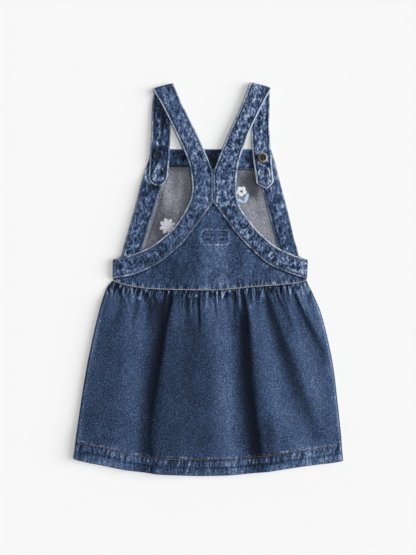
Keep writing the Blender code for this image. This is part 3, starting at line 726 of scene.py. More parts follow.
def hem_relief(x, y):
    """Puckers above and below the hem's stitches, their groove, and the crease below; crests are
    painted lighter with wear and painted light, and groove and crease darker as painted shade.
    """
    below = smooth_at(HEM_STITCH, x) - y
    roping = noise_field((x + 0.25 * below) / 3.1, below / 22.0, 3.7)
    roping += 0.7 * noise_field((x - 0.2 * below) / 1.6, below / 9.0, 9.1)
    roping += 0.5 * ridge_field(x / 4.4, below / 16.0, 5.1) - 0.15
    strength = bump_at(below, 5.0, 6.0) + 0.5 * ease(9.0, 15.0, below)
    dabs = np.clip(0.3 + 1.6 * noise_field((x + 0.8 * below) / 2.6, below / 3.0, 8.8), 0.0, 1.1)
    ridge = bump_at(below, -2.0, 1.3)
    crease = bump_at(below, HEM_CREASE + 2.0 * noise_field(x / 40.0, 0 * x, 2.0), 1.3)
    groove = bump_at(below, 0.0, 0.9)
    height = 0.9 * roping * strength + 0.5 * dabs * ridge - 0.5 * groove - 0.5 * crease
    fade_and_shade = 0.42 * roping * strength + 0.36 * dabs * ridge - 0.22 * groove
    fade_and_shade += 0.04 * ease(1.0, 3.0, below) - 0.16 * crease
    return height, fade_and_shade


# %% Back panel
def seam_wrinkles(x, distance):
    """Thin leaning wrinkles below the waist seam, each with a trough on one side, which is also
    painted darker as painted shade.
    """
    lean = 0.9 * noise_field(x / 13.0, 0 * x, 71.0)
    wander = noise_field((x + lean * distance) / 6.0, distance / 34.0, 73.0)
    beside = np.clip(1 - 6.0 * np.abs(wander - 0.26), 0, 1)
    wrinkle = np.clip(1 - 8.5 * np.abs(wander), 0, 1) - 0.8 * beside
    reach = np.maximum(15.0 + 18.0 * noise_field(x / 7.0, 0 * x, 75.0), 4.0)
    return wrinkle * (bump_at(distance, 0.0, reach) * ease(-1.0, 1.5, distance))


def back_sheet(across, along):
    """Where the back skirt's vertices go."""
    distance = back_distance(along)
    down = distance / SKIRT_LENGTH
    x, y = skirt_place(across, down)
    from_side = np.minimum(across, 1 - across)
    inside = ease(0.0, SIDE_EASE, from_side)
    hem_start = SKIRT_LENGTH - HEM_DEPTH
    climb = ease(hem_start - HEM_EASE, hem_start - 1.6, distance)
    base = SIDE_TOP + (HEM_TOP - SIDE_TOP) * climb + MIDDLE_RISE * inside
    base += WAIST_RISE * inside * (1 - ease(0.0, WAIST_EASE, distance))
    edge = 0.35 + 0.65 * ease(0.0, 0.06, from_side)
    folds = fold_height(x, down)
    depth, dark = valley_shapes(x, down)
    tucks, crest = gathers(across, distance)
    strength = np.clip(0.75 + 1.1 * noise_field(x / 11.0, 0 * x, 41.0), 0.25, 1.3)
    tucks = tucks * strength * (0.4 + 0.6 * bump_at(distance, 0.0, 11.0))
    fold_zone = ease(0.0, 0.04, from_side)
    flutes = noise_field(across * 34.0, distance / 90.0, 1.3) * bump_at(distance, 0.0, 95.0)
    drape = noise_field(x / 38.0, y / 90.0, 6.2) + 0.4 * noise_field(x / 16.0, y / 40.0, 8.4)
    small = noise_field(x / 5.5, y / 9.0, 4.4)
    lines = creases(x, y, SKIRT_CREASES)
    hem_height, hem_fade_and_shade = hem_relief(x, y)
    z = base + edge * (tucks + folds) - depth * fold_zone
    z += fold_zone * (1.5 * flutes + 1.0 * drape * ease(30.0, 90.0, distance) + lines)
    z += 0.16 * small + hem_height
    to_side = from_side * PANEL_WIDTH
    side = bump_at(to_side, 0.0, 2.2)
    roll = ease(0.0, 3.4, to_side) * (1 - ease(10.0, 42.0, to_side))
    z += SIDE_ROLL * roll * ease(4.0, 34.0, distance)
    z -= 0.9 * side + 0.7 * bump_at(SKIRT_LENGTH - distance, 0.0, 1.2)
    # Ridges are painted lighter and hollows darker: wear on the ridges, and painted light and
    # painted shade on the relief.
    fine_relief = z - soften(z, 3, 4)
    broad_relief = z - soften(z, 8, 14)
    fade_and_shade = 0.16 * np.clip(fine_relief, -0.6, 0.9) + 0.05 * np.clip(broad_relief, -2.5, 2.5)
    on_hem = ease(hem_start - 6.0, hem_start + 3.0, distance)
    # The fold valleys are darkened as painted shade with less fading; the tone patches add fading,
    # painted shade and painted light.
    fade_and_shade += tones(x, y, SKIRT_TONES) + hem_fade_and_shade - dark * (1 - 0.65 * on_hem)
    rope = noise_field((x + 0.35 * distance) / 2.0, distance / 14.0, 33.0)
    dabs = np.clip(rope + 0.5 * noise_field(x / 3.6, distance / 9.0, 35.0), -0.35, 0.6)
    near_seam = bump_at(distance, 4.5, 6.5)
    close = bump_at(distance, 0.0, 10.0)
    # Gather crests are painted lighter and the gaps between them darker, as painted light and
    # painted shade with some wear.
    fade_and_shade += strength * close * (0.15 * crest ** 3 - 0.34 * (1 - crest) ** 2)
    fade_and_shade += 0.06 * dabs * near_seam
    z += 0.15 * dabs * near_seam
    wrinkle = seam_wrinkles(x, distance)
    # The wrinkles' crests are painted lighter and their troughs darker, and the cloth near the seam
    # darker: painted light and painted shade.
    fade_and_shade += 0.78 * wrinkle - 0.06 * close
    z += 0.9 * wrinkle
    # A dark line along the waist seam: painted shade.
    fade_and_shade -= 0.26 * bump_at(distance, 0.0, 1.6)
    fade_and_shade += 0.10 * side + 0.12 * bump_at(SKIRT_LENGTH - distance, 0.0, 1.2)
    # The left side's roll is painted lighter: painted light where it turns away from the key light.
    fade_and_shade += 0.07 * bump_at(across * PANEL_WIDTH, 3.0, 5.0) * ease(10.0, 60.0, distance)
    fade_and_shade = hold_back(fade_and_shade, 0.17, 0.45)
    return x, y, z, fade_and_shade, across * CUT_WIDTH, distance


def hem_layers(across, along):
    """1 where the cloth is turned up double."""
    return ease(-1.0, 1.0, back_distance(along) - (SKIRT_LENGTH - HEM_DEPTH))


skirt_back = cloth(
    "skirt_back_cloth", 400, 121, back_sheet, [denim_face, denim_reverse], HEM, hem_layers
)
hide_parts("skirt_back")

# %% [markdown]
# ## Front of the skirt
#
# The front lies underneath, face down, so only its reverse shows inside the hem. Its form
# is plain: flat where it rests, with the gathers lifting off near the waist.


# %% Front panel
FRONT_LENGTH = SKIRT_LENGTH - 2.0


def front_hem_layers(across, along):
    """1 where the front is turned up double."""
    return ease(-1.0, 1.0, FRONT_LENGTH * along - (FRONT_LENGTH - HEM_DEPTH))


def front_sheet(across, along):
    """Where the front skirt's vertices go; its reverse is up."""
    distance = FRONT_LENGTH * along
    x, y = skirt_place(across, along, 1.5)
    lift = 0.9 * gathers(across, 0 * distance)[1] * (1 - ease(6.0, 30.0, distance))
    lift *= ease(0.0, 0.1, np.minimum(across, 1 - across))
    z = lift + CLOTH + (HEM - CLOTH) * front_hem_layers(across, along)
    # Where the gathers lift, the reverse is painted lighter: painted light.
    fade_and_shade = 0.1 * noise_field(x / 20.0, y / 30.0, 5.5) + 0.1 * (lift - 0.4)
    return x, y, z, fade_and_shade, across * CUT_WIDTH, distance


skirt_front = cloth(
    "skirt_front_cloth", 230, 60, front_sheet, [denim_reverse, denim_face], HEM, front_hem_layers
)
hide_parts("skirt_front")

# %% [markdown]
# ## Straps with their armhole bands
#
# Each strap is one long band of double denim: from the side seam round the armhole, up the
# centre back, over the shoulder fold and down to its tab. It is made as a grid whose width
# runs once round the band, closed along that line and capped at both ends. Washing has
# puckered it between its two rows of stitches, so its faces carry wandering ridges.


# %% Sections along a strap
STRAP_STEPS = 16                 # sections from one row to the next, and round the fold


class Strap:
    """A strap's edges, middle line and normals, at any distance from the side seam."""

    def __init__(self, back, front):
        sections = self.flat_run(back, 1, CENTRE_ROWS)
        turn = len(sections) - 1
        sections += self.fold(back[-1], front[0]) + self.flat_run(front, -1)
        self.sections = np.array(sections)
        middle = (self.sections[:, 0:3] + self.sections[:, 3:6]) / 2
        steps = np.linalg.norm(np.diff(middle, axis=0), axis=1)
        self.distances = np.concatenate([[0.0], np.cumsum(steps)])
        self.length = self.distances[-1]
        self.fold_start, self.fold_end = self.distances[[turn, turn + STRAP_STEPS]]
        self.widths = np.linalg.norm(self.sections[:, 3:6] - self.sections[:, 0:3], axis=1)

    def flat_run(self, rows, up, corners=()):
        """Sections through the rows: armhole edge, other edge and normal."""
        place = np.linspace(0, len(rows) - 1, STRAP_STEPS * (len(rows) - 1) + 1)
        x, y, z = (along_rows(rows, column, place) for column in (0, 1, 4))
        other_x, other_y = (along_rows(rows, column, place, corners) for column in (2, 3))
        none = 0 * z
        return np.stack([x, y, z, other_x, other_y, z, none, none, none + up], -1).tolist()

    def fold(self, high, low):
        """Sections round the shoulder, from the last row of the back to the front's first."""
        radius = (high[4] - low[4]) / 2
        along_fold = Vector((high[2] - high[0], high[3] - high[1], 0)).normalized()
        outward = Vector((-along_fold.y, along_fold.x, 0))
        if outward.y < 0:
            outward = -outward
        sections = []
        for step in range(1, STRAP_STEPS):
            turn = math.pi * step / STRAP_STEPS
            normal = Vector((0, 0, math.cos(turn))) + outward * math.sin(turn)
            stretch = outward * (FOLD_REACH - radius - BAND / 2) * math.sin(turn)
            swing = normal * radius + stretch + Vector((0, 0, (high[4] + low[4]) / 2))
            outer = Vector((high[0], high[1], 0)) + swing
            inner = Vector((high[2], high[3], 0)) + swing
            sections.append([*outer, *inner, *normal])
        return sections

    def at(self, distance):
        """Armhole edge, other edge and normal at an array of distances."""
        columns = [np.interp(distance, self.distances, c) for c in self.sections.T]
        return np.stack(columns[0:3], -1), np.stack(columns[3:6], -1), np.stack(columns[6:9], -1)

    def width(self, distance):
        return np.interp(distance, self.distances, self.widths)


STITCH_INSET = 2.9               # from a band's edge to its stitches


def outside_stitches(to_edge):
    """1 on the narrow strip between a band's edge and its stitches."""
    return 1 - ease(2.0, 3.2, to_edge)


def pucker(x, y, from_edge, width, seed):
    """Height and fade of a washed band's puckers, which all lean up and down the page; the stitch
    groove is painted darker as painted shade.
    """
    warp = noise_field(x / 7.0, y / 9.0, seed + 7)
    broad = noise_field(x / 8.0, y / 10.0, seed + 13)
    upright = noise_field((x + 2.5 * warp) / 3.2, y / 9.0, seed)
    one_way = noise_field((x + 0.35 * y + 2.5 * warp) / 3.4, y / 7.5, seed + 9)
    other_way = noise_field((x - 0.35 * y - 2.0 * warp) / 3.4, y / 7.5, seed + 19)
    crests = np.maximum(np.maximum(upright, one_way), other_way) - 0.15
    lines = ridge_field((x + 0.2 * y + 3.0 * warp) / 5.2, y / 11.0, seed + 29)
    other_lines = ridge_field((x - 0.45 * y - 3.0 * warp) / 5.2, y / 10.0, seed + 39)
    lines = np.maximum(lines, 0.85 * other_lines)
    fine = noise_field(x / 1.4, y / 1.8, seed + 3)
    to_edge = np.minimum(from_edge, width - from_edge)
    inside = ease(2.4, 4.6, to_edge)
    groove = bump_at(to_edge, STITCH_INSET, 0.9)
    rope = noise_field(x / 1.5, y / 1.8, seed + 11) * bump_at(to_edge, 1.4, 1.6)
    height = inside * (0.9 * crests + 0.6 * lines + 0.5 * broad + 0.10 * fine)
    height += 0.30 * rope - 0.50 * groove
    fade_and_shade = 0.46 * crests + 0.46 * lines + 0.18 * broad + 0.10 * fine - 0.19
    fade_and_shade = inside * hold_back(fade_and_shade, 0.30, 0.3)
    # The stitch groove is painted darker: painted shade.
    fade_and_shade += 0.36 * rope - 0.16 * groove
    fade_and_shade += (0.18 + 0.25 * broad) * outside_stitches(to_edge)
    return height, fade_and_shade


# %% Make a strap
AROUND = 96                      # mesh columns round a strap
ROW_LENGTH = 0.95                # and the length of a mesh row along it
FRONT_SEED, FRONT_SHIFT = 40, 60.0   # keep the front's puckers unlike the back's


def strap_piece(name, strap, seed, front_shade, contrast, edge_tone, shoulder_edge):
    """A strap as one closed band: painted shade on its front, contrast, and how worn its edges are.
    """
    rows = int(strap.length / ROW_LENGTH)
    around, along = shares(AROUND, rows)
    turn = 2 * math.pi * around
    bow = np.cos(turn)
    share = 0.5 - 0.5 * np.sign(bow) * np.abs(bow) ** 0.82
    top = np.sin(turn) >= 0
    distance = along * strap.length
    section = np.sign(np.sin(turn)) * (1 - np.abs(1 - 2 * share) ** 9) ** (1 / 4.5)
    width = strap.width(distance)
    outer, inner, normal = strap.at(distance)
    points = outer + (inner - outer) * share[..., None]
    front = ease(strap.fold_start, strap.fold_end, distance)
    # the side that shows may rise; the hidden one only dents, clear of what lies below
    sides = []
    lines = front * creases(points[..., 0], points[..., 1], FRONT_CREASES)
    for seen, side_seed in ((1 - front, seed), (front, seed + FRONT_SEED)):
        page_y = points[..., 1] + FRONT_SHIFT * front
        height, fade_and_shade = pucker(points[..., 0], page_y, share * width, width, side_seed)
        height = height + lines
        sides.append((seen * height + (1 - seen) * 0.5 * np.minimum(height, 0), fade_and_shade))
    height = np.where(top, sides[0][0], sides[1][0]) * np.abs(section) ** 2
    fade_and_shade = np.where(top, sides[0][1], sides[1][1])
    # Creases on the front are painted lighter on their ridges and darker in their troughs, as
    # painted light and painted shade; the front is darkened by its painted shade.
    fade_and_shade = contrast * fade_and_shade + front_shade * front + 0.55 * lines
    to_edge = np.minimum(share, 1 - share) * width
    lower_edge = (share > 0.5) * (1 - front) * (1 - ease(140.0, 180.0, distance))
    fade_and_shade += (edge_tone - 0.16 * lower_edge) * outside_stitches(to_edge)
    worn = 1 - ease(1.0, 2.0, to_edge)
    on_armhole = (share < 0.5) * (1 - front)
    tab_end = 1 - ease(140.0, 166.0, points[..., 1])
    fade_and_shade += worn * front * (0.10 + 0.16 * tab_end)
    fade_and_shade += worn * 0.16 * on_armhole * bump_at(distance, 70.0, 55.0)
    shoulder = strap.fold_start - distance
    fade_and_shade += 0.30 * worn * on_armhole * (1 - ease(60.0, 78.0, shoulder)) * shoulder_edge
    fade_and_shade += front * tones(points[..., 0], points[..., 1], FRONT_TONES)
    fade_and_shade += np.where(front < 0.5, tones(points[..., 0], points[..., 1], STRAP_TONES), 0.0)
    lift = section * BAND / 2 + np.sign(section) * height
    points = points + normal * lift[..., None]
    flat = np.stack([share * BAND_WIDTH, distance], -1)
    mesh, _ = mapped_grid(AROUND, rows, points, fade_and_shade, flat)
    close_up(mesh)
    return finish_piece(name, mesh, [denim_band])


# the straps' front parts: from x, y, to x, y, bow, height, width
FRONT_CREASES = [
    (76, 236, 73, 204, 1.5, 0.7, 1.5), (74, 208, 69, 176, -1.5, 0.8, 1.5),
    (70.5, 232, 66, 196, 0.5, -0.8, 1.8), (81, 222, 82, 190, 1, 0.6, 1.5),
    (-69, 220, -66, 190, 1.5, 0.7, 1.4), (-67, 194, -69, 174, -1, 0.8, 1.4),
    (-61, 212, -58, 186, 1, 0.6, 1.5), (-60.5, 232, -62, 196, 0, -0.8, 2.2),
    (73.8, 189, 77.5, 172, 0.8, 0.9, 1), (70.2, 181, 67, 171, -0.5, 0.9, 1),
    (65.5, 161, 79.5, 152.5, -2.6, 1, 0.9), (73.8, 154, 75.3, 141, 0.5, 0.9, 0.9),
    (70.2, 149, 66.2, 135, -1, 1, 1), (79, 151, 84, 137, 1.2, 0.8, 1),
    (76, 149, 77.5, 137, 0, -1.2, 1.3), (81.5, 184, 81, 170, 0.6, 0.8, 1),
    (-66.8, 160, -75.6, 140.5, 1.6, 1.1, 0.9), (-66.2, 160, -58.5, 143.5, -1.6, 1, 0.9),
    (-66.8, 154, -67.5, 141, 0.4, 0.9, 0.9), (-71.5, 148, -71, 135, 0, 0.8, 1.2),
    (-63.5, 152, -63, 136, 0, -1.2, 1.3), (-70, 187, -67.5, 176, 0.6, 0.9, 0.9),
    (-62, 188, -58, 177, -0.6, 0.9, 0.9), (-75, 196, -74, 172, 0.5, 0.7, 1),
]
# x, y, half width, half height, amount: patches of fading, painted shade and painted light, such as
# the shade round the buttons
FRONT_TONES = [
    (74, 194, 6, 9, -0.12), (84, 180, 5, 16, -0.16), (76, 150, 6, 6, -0.06), (69, 130, 5, 4.5, 0.2),
    (82.5, 131, 5, 4, 0.2), (78, 136, 5, 3, -0.24), (-72.5, 135, 4, 5.5, 0.2),
    (-60.5, 137.5, 2.6, 4.5, 0.2), (-60, 194, 6, 16, -0.16), (80, 134, 11, 12, 0.2),
    (-69, 139, 9, 10, 0.16), (-67.5, 166.5, 11, 9, -0.24), (-62, 226, 10, 16, -0.12),
    (82, 214, 4, 24, -0.18), (-72, 232, 6, 16, -0.15), (-71, 131, 5, 5, 0.1), (75, 141, 4, 6, 0.12),
    (84.5, 151, 3.5, 6, -0.12), (66, 154, 4, 5, -0.12), (70, 167.5, 5, 4, 0.18),
    (69, 222, 5, 8, 0.12), (-60, 222, 8, 18, -0.12), (-56, 197, 5, 12, -0.1), (70, 192, 6, 7, -0.2),
    (84, 154, 4, 6, -0.1), (-78, 205, 3, 34, 0.08), (-76, 240, 6, 14, -0.12),
    (-80, 141, 4, 9, -0.12), (-68, 157, 5, 4, -0.12), (73, 188, 5, 5, -0.1), (70, 151, 5, 5, -0.14),
    (83, 214, 4, 9, -0.1), (78, 132, 10, 10, -0.1), (-68, 138, 9, 9, -0.07), (63, 207, 4, 8, 0.12),
    (72, 253, 7, 6, 0.12),
]
# Patches of fading, painted shade and painted light on the bands and the backs of the straps
STRAP_TONES = [
    (-60, 246, 8, 14, 0.1), (-17, 205, 8, 22, 0.1), (58, 250, 14, 14, 0.14),
    (43, 188, 9, 10, -0.12), (-4, 148, 11, 11, -0.14), (30, 150, 8, 14, -0.12),
    (-19, 160, 6, 14, -0.1), (-18, 86, 8, 12, -0.12), (-54, 47, 9, 7, -0.1), (70, 47, 8, 7, -0.14),
    (129, 10, 7, 9, 0.2), (-110, 12, 20, 5, 0.1), (-90, 21, 14, 4, -0.14), (-98, 4, 18, 3.5, 0.14),
    (-54, 251, 6, 8, -0.14), (-24, 147, 6, 14, -0.12), (5, 145, 5, 8, -0.08), (-17, 84, 7, 8, -0.1),
    (59, 226, 5, 9, -0.12), (43, 184, 6, 8, -0.08), (5, 130, 50, 60, 0.04),
    (-20, 165, 18, 40, 0.03), (6.75, 124, 1.5, 18, -0.36), (-27, 146, 6, 14, -0.08),
    (8, 145, 14, 6, -0.12), (6.7, 107, 4, 7, -0.14), (-50, 43, 9, 5, -0.12), (-34, 68, 7, 8, -0.1),
    (-11, 90, 6, 7, -0.14), (-78, 20, 10, 4, -0.12), (27, 90, 11, 8, -0.14), (38, 78, 5, 6, -0.08),
    (48, 77, 5, 6, 0.14), (-57, 236, 7, 13, 0.14), (-28, 208, 5, 8, 0.12), (-31, 168, 6, 6, 0.12),
    (-41, 222, 4, 6, -0.12), (-13, 131, 5, 10, -0.12), (-122, 19, 6, 6, -0.1), (34, 100, 5, 5, 0.1),
    (19, 100, 4, 5, 0.1), (86, 36, 6, 5, -0.12), (73, 48, 5, 5, -0.1), (39, 66, 5, 5, -0.08),
    (76, 250, 7, 8, -0.12), (-18, 100, 4, 14, 0.12), (-40, 190, 4, 18, 0.16),
    (-14, 180, 5, 10, 0.14), (-5, 130, 3, 24, 0.08), (62, 258, 10, 5, 0.14), (78, 238, 6, 10, 0.1),
    (30, 200, 30, 60, 0.05), (-118, 15, 26, 16, -0.04), (-56, 225, 22, 34, -0.06),
    (-3, 112, 12, 16, -0.04), (30, 109, 6, 6, -0.1), (-76, 34, 26, 18, -0.08),
    (60, 60, 30, 30, 0.04),
]
left_strap = Strap(LEFT_BACK, LEFT_FRONT)
right_strap = Strap(RIGHT_BACK, RIGHT_FRONT)
# side, strap, noise seed, painted shade on the front, contrast, tone of the edges, worn shoulder
# edge
for side, strap, *looks in (
    ("left", left_strap, 2.0, -0.13, 0.98, 0.20, 0.8),
    ("right", right_strap, 31.0, 0.00, 1.32, 0.16, 1.0),
):
    band = strap_piece(f"strap_{side}_cloth", strap, *looks)
    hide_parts(f"strap_{side}")
    print(side, "strap is", round(strap.length), "mm long")

# %% [markdown]
# ## Yoke
#
# The pointed yoke fills the back between the bands and the waist seam. It is one layer,
# loose in the middle, so it has soft upright folds, and the seams pucker its edges.


# %% Yoke panel
YOKE_TUCK = 4.0


def band_lower_edge():
    """The bands' lower edge from left to right: across, along, middle height."""
    edge = []
    for back, ways in ((LEFT_BACK, 1), (RIGHT_BACK, -1)):
        place = np.linspace(0, CENTRE_ROWS[0], 3 * CENTRE_ROWS[0] + 1)
        x, y = (along_rows(back, column, place, CENTRE_ROWS) for column in (2, 3))
        edge += list(zip(x, y, along_rows(back, 4, place)))[::ways]
    return edge


YOKE_EDGE = band_lower_edge()
# from x, y, to x, y, bow, height, width
YOKE_CREASES = [
    (-28, 60, -30, -8, 2, -1, 8), (-12, 66, -9, -6, 0, 0.5, 6), (37, 58, 39, -4, -2, -0.8, 7),
    (54, 40, 62, -2, 0, 0.4, 6), (-52, 34, -60, -8, 0, 0.4, 6), (-74, 18, -84, -6, 0, -0.4, 5),
    (84, 16, 92, -2, 0, -0.4, 5), (6, 98, 8, 70, 0, 0.5, 4),
]
# Patches of fading, painted shade and painted light on the yoke, such as the shade along the waist
# seam
YOKE_TONES = [
    (-46, 14, 4, 16, -0.12), (-31, 24, 5, 16, 0.08), (-4, 19, 6, 12, -0.05), (2, 26, 14, 28, -0.05),
    (9, 45, 13, 24, 0.12), (19, -6, 9, 7, 0.22), (-14, 30, 5, 26, -0.08), (49, 20, 6, 26, 0.1),
    (-48, -1, 16, 14, -0.12), (-34, -11, 18, 5, -0.16), (10, 16, 15, 32, 0.11),
    (8, 82, 12, 14, 0.08), (-30, 22, 13, 34, -0.15), (40, 22, 10, 32, -0.12),
    (-70, 8, 18, 16, -0.07), (78, 6, 14, 12, -0.06),
]
LABEL_X, LABEL_Y = (-8.8, 27.8), (46.6, 65.6)
LABEL_ROUND = 3.2
BAR_PLACE, BAR_PITCH = 56.0, 6.4         # the cloth behind the label is faded in soft bars


def box_distance(x, y):
    """Distance to the outline of the label's rectangle of stitches."""
    middle_x, middle_y = sum(LABEL_X) / 2, sum(LABEL_Y) / 2
    out_x = np.abs(x - middle_x) - (LABEL_X[1] - LABEL_X[0]) / 2 + LABEL_ROUND
    out_y = np.abs(y - middle_y) - (LABEL_Y[1] - LABEL_Y[0]) / 2 + LABEL_ROUND
    outside = np.hypot(np.maximum(out_x, 0), np.maximum(out_y, 0))
    wavy = 0.9 * noise_field(x / 6.0, y / 6.0, 47.0)
    return outside + np.minimum(np.maximum(out_x, out_y), 0) - LABEL_ROUND + wavy


def waist_height(x):
    """Height of the back at the waist seam."""
    fraction = (x - WAIST[0][0]) / (WAIST[-1][0] - WAIST[0][0])
    from_side = np.minimum(fraction, 1 - fraction)
    inside = ease(0.0, SIDE_EASE, from_side)
    folds = fold_height(x, 0 * x) * (0.35 + 0.65 * ease(0.0, 0.06, from_side))
    return SIDE_TOP + (MIDDLE_RISE + WAIST_RISE) * inside + folds


def yoke_sheet(across, along):
    """Where the yoke's vertices go."""
    first, last = YOKE_EDGE[0][0] + 1.0, YOKE_EDGE[-1][0] - 1.0
    x = first + (last - first) * across
    waist_y = smooth_at(WAIST, x)
    edge_y = smooth_at(YOKE_EDGE, x, 1)
    under = smooth_at(YOKE_EDGE, x, 2) - BAND / 2 - GAP - 0.15
    top_y = edge_y + YOKE_TUCK
    y = waist_y + (top_y - waist_y) * along
    share = np.clip((y - waist_y) / (edge_y - 0.65 - waist_y), 0, 1)
    at_waist = waist_height(x) + 0.2
    z = at_waist + (under - at_waist) * ease(0.0, 1.0, share)
    below_band = edge_y - y
    above_seam = y - waist_y
    free = ease(0.0, 5.0, below_band)
    open_seam = ease(0.0, 4.0, above_seam)
    seam = noise_field(x / 2.7, above_seam / 30.0, 12.5) * bump_at(above_seam, 3.5, 4.0)
    band_edge = noise_field((x + 0.4 * below_band) / 3.0, below_band / 14.0, 14.5)
    band_edge *= bump_at(below_band, 4.0, 4.0)
    drape = noise_field(x / 17.0, y / 45.0, 16.0) + 0.5 * noise_field(x / 8.0, y / 20.0, 18.0)
    label = box_distance(x, y)
    ring = bump_at(label, 0.0, 0.9)
    label_puckers = noise_field(x / 3.2, y / 3.2, 21.0) * (1 - ease(-1.0, 3.0, label))
    extra = creases(x, y, YOKE_CREASES) + 0.7 * drape * open_seam + 0.7 * seam
    extra += 0.35 * band_edge - 0.30 * ring + 0.35 * label_puckers
    extra += 0.10 * noise_field(x / 4.0, y / 7.0, 19.0)
    z = z + extra * free
    z -= 0.5 * bump_at(above_seam, 0.0, 0.8)
    # Puckers and folds are painted lighter on their crests and darker in their hollows: wear, with
    # painted light and painted shade.
    fine_relief = z - soften(z, 3, 4)
    fade_and_shade = 0.30 * np.clip(fine_relief, -0.5, 0.6) + tones(x, y, YOKE_TONES)
    fade_and_shade += 0.42 * seam + 0.24 * band_edge + 0.10 * drape + 0.12 * label_puckers
    fade_and_shade += 0.16 * noise_field(x / 1.8, y / 7.0, 37.0) + 0.12 * noise_field(x / 6.0, y / 1.8, 36.0)
    fade_and_shade += 0.20 * noise_field((x + 0.6 * y) / 2.2, y / 5.0, 38.0) * bump_at(above_seam, 5.0, 6.0)
    worn = np.clip(0.8 + 1.0 * noise_field(x / 3.0, y / 3.0, 25.0), 0.0, 1.2)
    fade_and_shade += 0.44 * worn * bump_at(label, 0.4, 0.9) - 0.16 * worn * bump_at(label, -1.9, 1.0)
    sway = 0.6 * noise_field(x / 9.0, y / 9.0, 26.0)
    bars = np.cos((y - BAR_PLACE) * 2 * math.pi / BAR_PITCH + sway)
    in_label = 1 - ease(-4.0, -2.0, label)
    fade_and_shade += in_label * (0.16 * bars * worn - 0.03)
    fade_and_shade += 0.34 * bump_at(x, 13.0, 1.0) * bump_at(y, BAR_PLACE, 7.5)
    # A painted shadow under the bands' lower edge, and at the waist seam a lighter ridge and a line
    # of painted shade.
    fade_and_shade -= 0.34 * (1 - ease(0.0, 3.4, below_band))
    fade_and_shade += 0.10 * bump_at(above_seam, 2.6, 1.2) - 0.10 * bump_at(above_seam, 0.9, 0.8)
    return x, y, z, fade_and_shade, x, y


yoke = cloth("yoke_cloth", 230, 90, yoke_sheet, [denim_face, denim_reverse])
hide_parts("back_yoke")

# %% [markdown]
# ## Bib, seen from inside
#
# Through the armholes one looks at the inside of the bib: the grey reverse of the denim in
# the middle, a facing along its top and a band along each armhole edge. They lie flat on
# each other, so their folds are low and soft.


# %% Bib panel
# from x, y, to x, y, bow, height, width
BIB_CREASES = [
    (-52, 150, -70, 60, -3, 0.3, 5), (-42, 148, -52, 80, 2, -0.25, 4),
    (-62, 128, -80, 48, 2, -0.25, 4), (48, 140, 60, 92, 2, 0.25, 4), (60, 130, 78, 70, -2, -0.2, 4),
    (44, 104, 66, 74, 2, 0.2, 4),
]
# x, y, half width, half height, amount: patches of fading and painted shade, such as the shadows of
# the tabs and the facing
BIB_TONES = [
    (-50, 118, 9, 24, 0.14), (-30, 116, 7, 34, -0.2), (-66, 98, 6, 40, -0.26),
    (-58, 83, 9, 9, -0.14), (-86, 60, 8, 20, -0.05), (-64, 66, 16, 22, -0.22),
    (57, 130, 8, 20, -0.75), (50, 106, 10, 12, 0.2), (62, 92, 10, 22, 0.08), (-50, 106, 8, 14, 0.1),
    (62, 116, 8, 8, -0.35), (-44, 149, 16, 4, -0.4), (-62, 112, 6, 16, -0.12),
    (-46, 140, 10, 8, -0.14), (74, 84, 10, 24, 0.12), (64, 122, 6, 14, -0.1),
    (-46, 124, 7, 8, -0.1), (-66, 67, 7, 10, -0.18), (64, 129, 5, 8, -0.22), (50, 78, 7, 8, 0.2),
    (57, 133, 9, 7, -0.3), (-58, 84, 8, 10, -0.12), (46, 129, 6, 8, -0.25),
]


def bib_sheet(across, along):
    """Where the bib's vertices go; its reverse is up."""
    y = BIB_SIDES[0][0] + (BIB_TOP - BIB_SIDES[0][0]) * along
    left, right = edges_at(BIB_SIDES, y)
    x = left + (right - left) * across
    y = y + (smooth_at(WAIST, x) - BIB_SIDES[0][0]) * (1 - ease(0.0, 0.06, along))
    clipped = np.clip(y, BIB_BAND_EDGES[0][0], BIB_BAND_EDGES[-1][0])
    band_left, band_right = edges_at(BIB_BAND_EDGES, clipped)
    inner_left, inner_right = x - band_left, band_right - x
    free = ease(0.5, 5.0, inner_left) * ease(0.5, 5.0, inner_right)
    free *= ease(0.5, 6.0, smooth_at(FACING_EDGE, x) - y)
    lines = creases(x, y, BIB_CREASES)
    drape = noise_field(x / 9.0, y / 30.0, 24.0)
    low = lines + 0.20 * drape + 0.06 * noise_field(x / 3.0, y / 4.0, 27.0)
    z = CLOTH + free * np.maximum(0.3 + low, 0.0)
    # Creases are painted lighter on their ridges and darker in their troughs: painted light and
    # painted shade.
    fade_and_shade = 0.5 * lines + 0.12 * drape + tones(x, y, BIB_TONES)
    fade_and_shade += 0.20 * bump_at(inner_left, 1.5, 1.6) + 0.15 * bump_at(inner_right, 1.2, 1.0)
    fade_and_shade -= 0.22 * bump_at(inner_left, 5.5, 1.2)
    return x, y, z, fade_and_shade, x, y


bib = cloth("bib_cloth", 150, 110, bib_sheet, [denim_reverse, denim_face])
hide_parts("bib_front")


# %% Top facing and side bands of the bib
# Patches of painted shade and fading on the facing, such as the shadow of the right tab
FACING_TONES = [
    (8, 162, 14, 40, -0.42), (-36, 162, 8, 30, -0.24), (-46, 148, 24, 4, -0.14),
    (-50, 160, 6, 10, -0.24), (48, 164, 8, 30, 0.1), (58, 160, 3.5, 30, -0.34),
    (90, 155, 4, 20, 0.12),
]


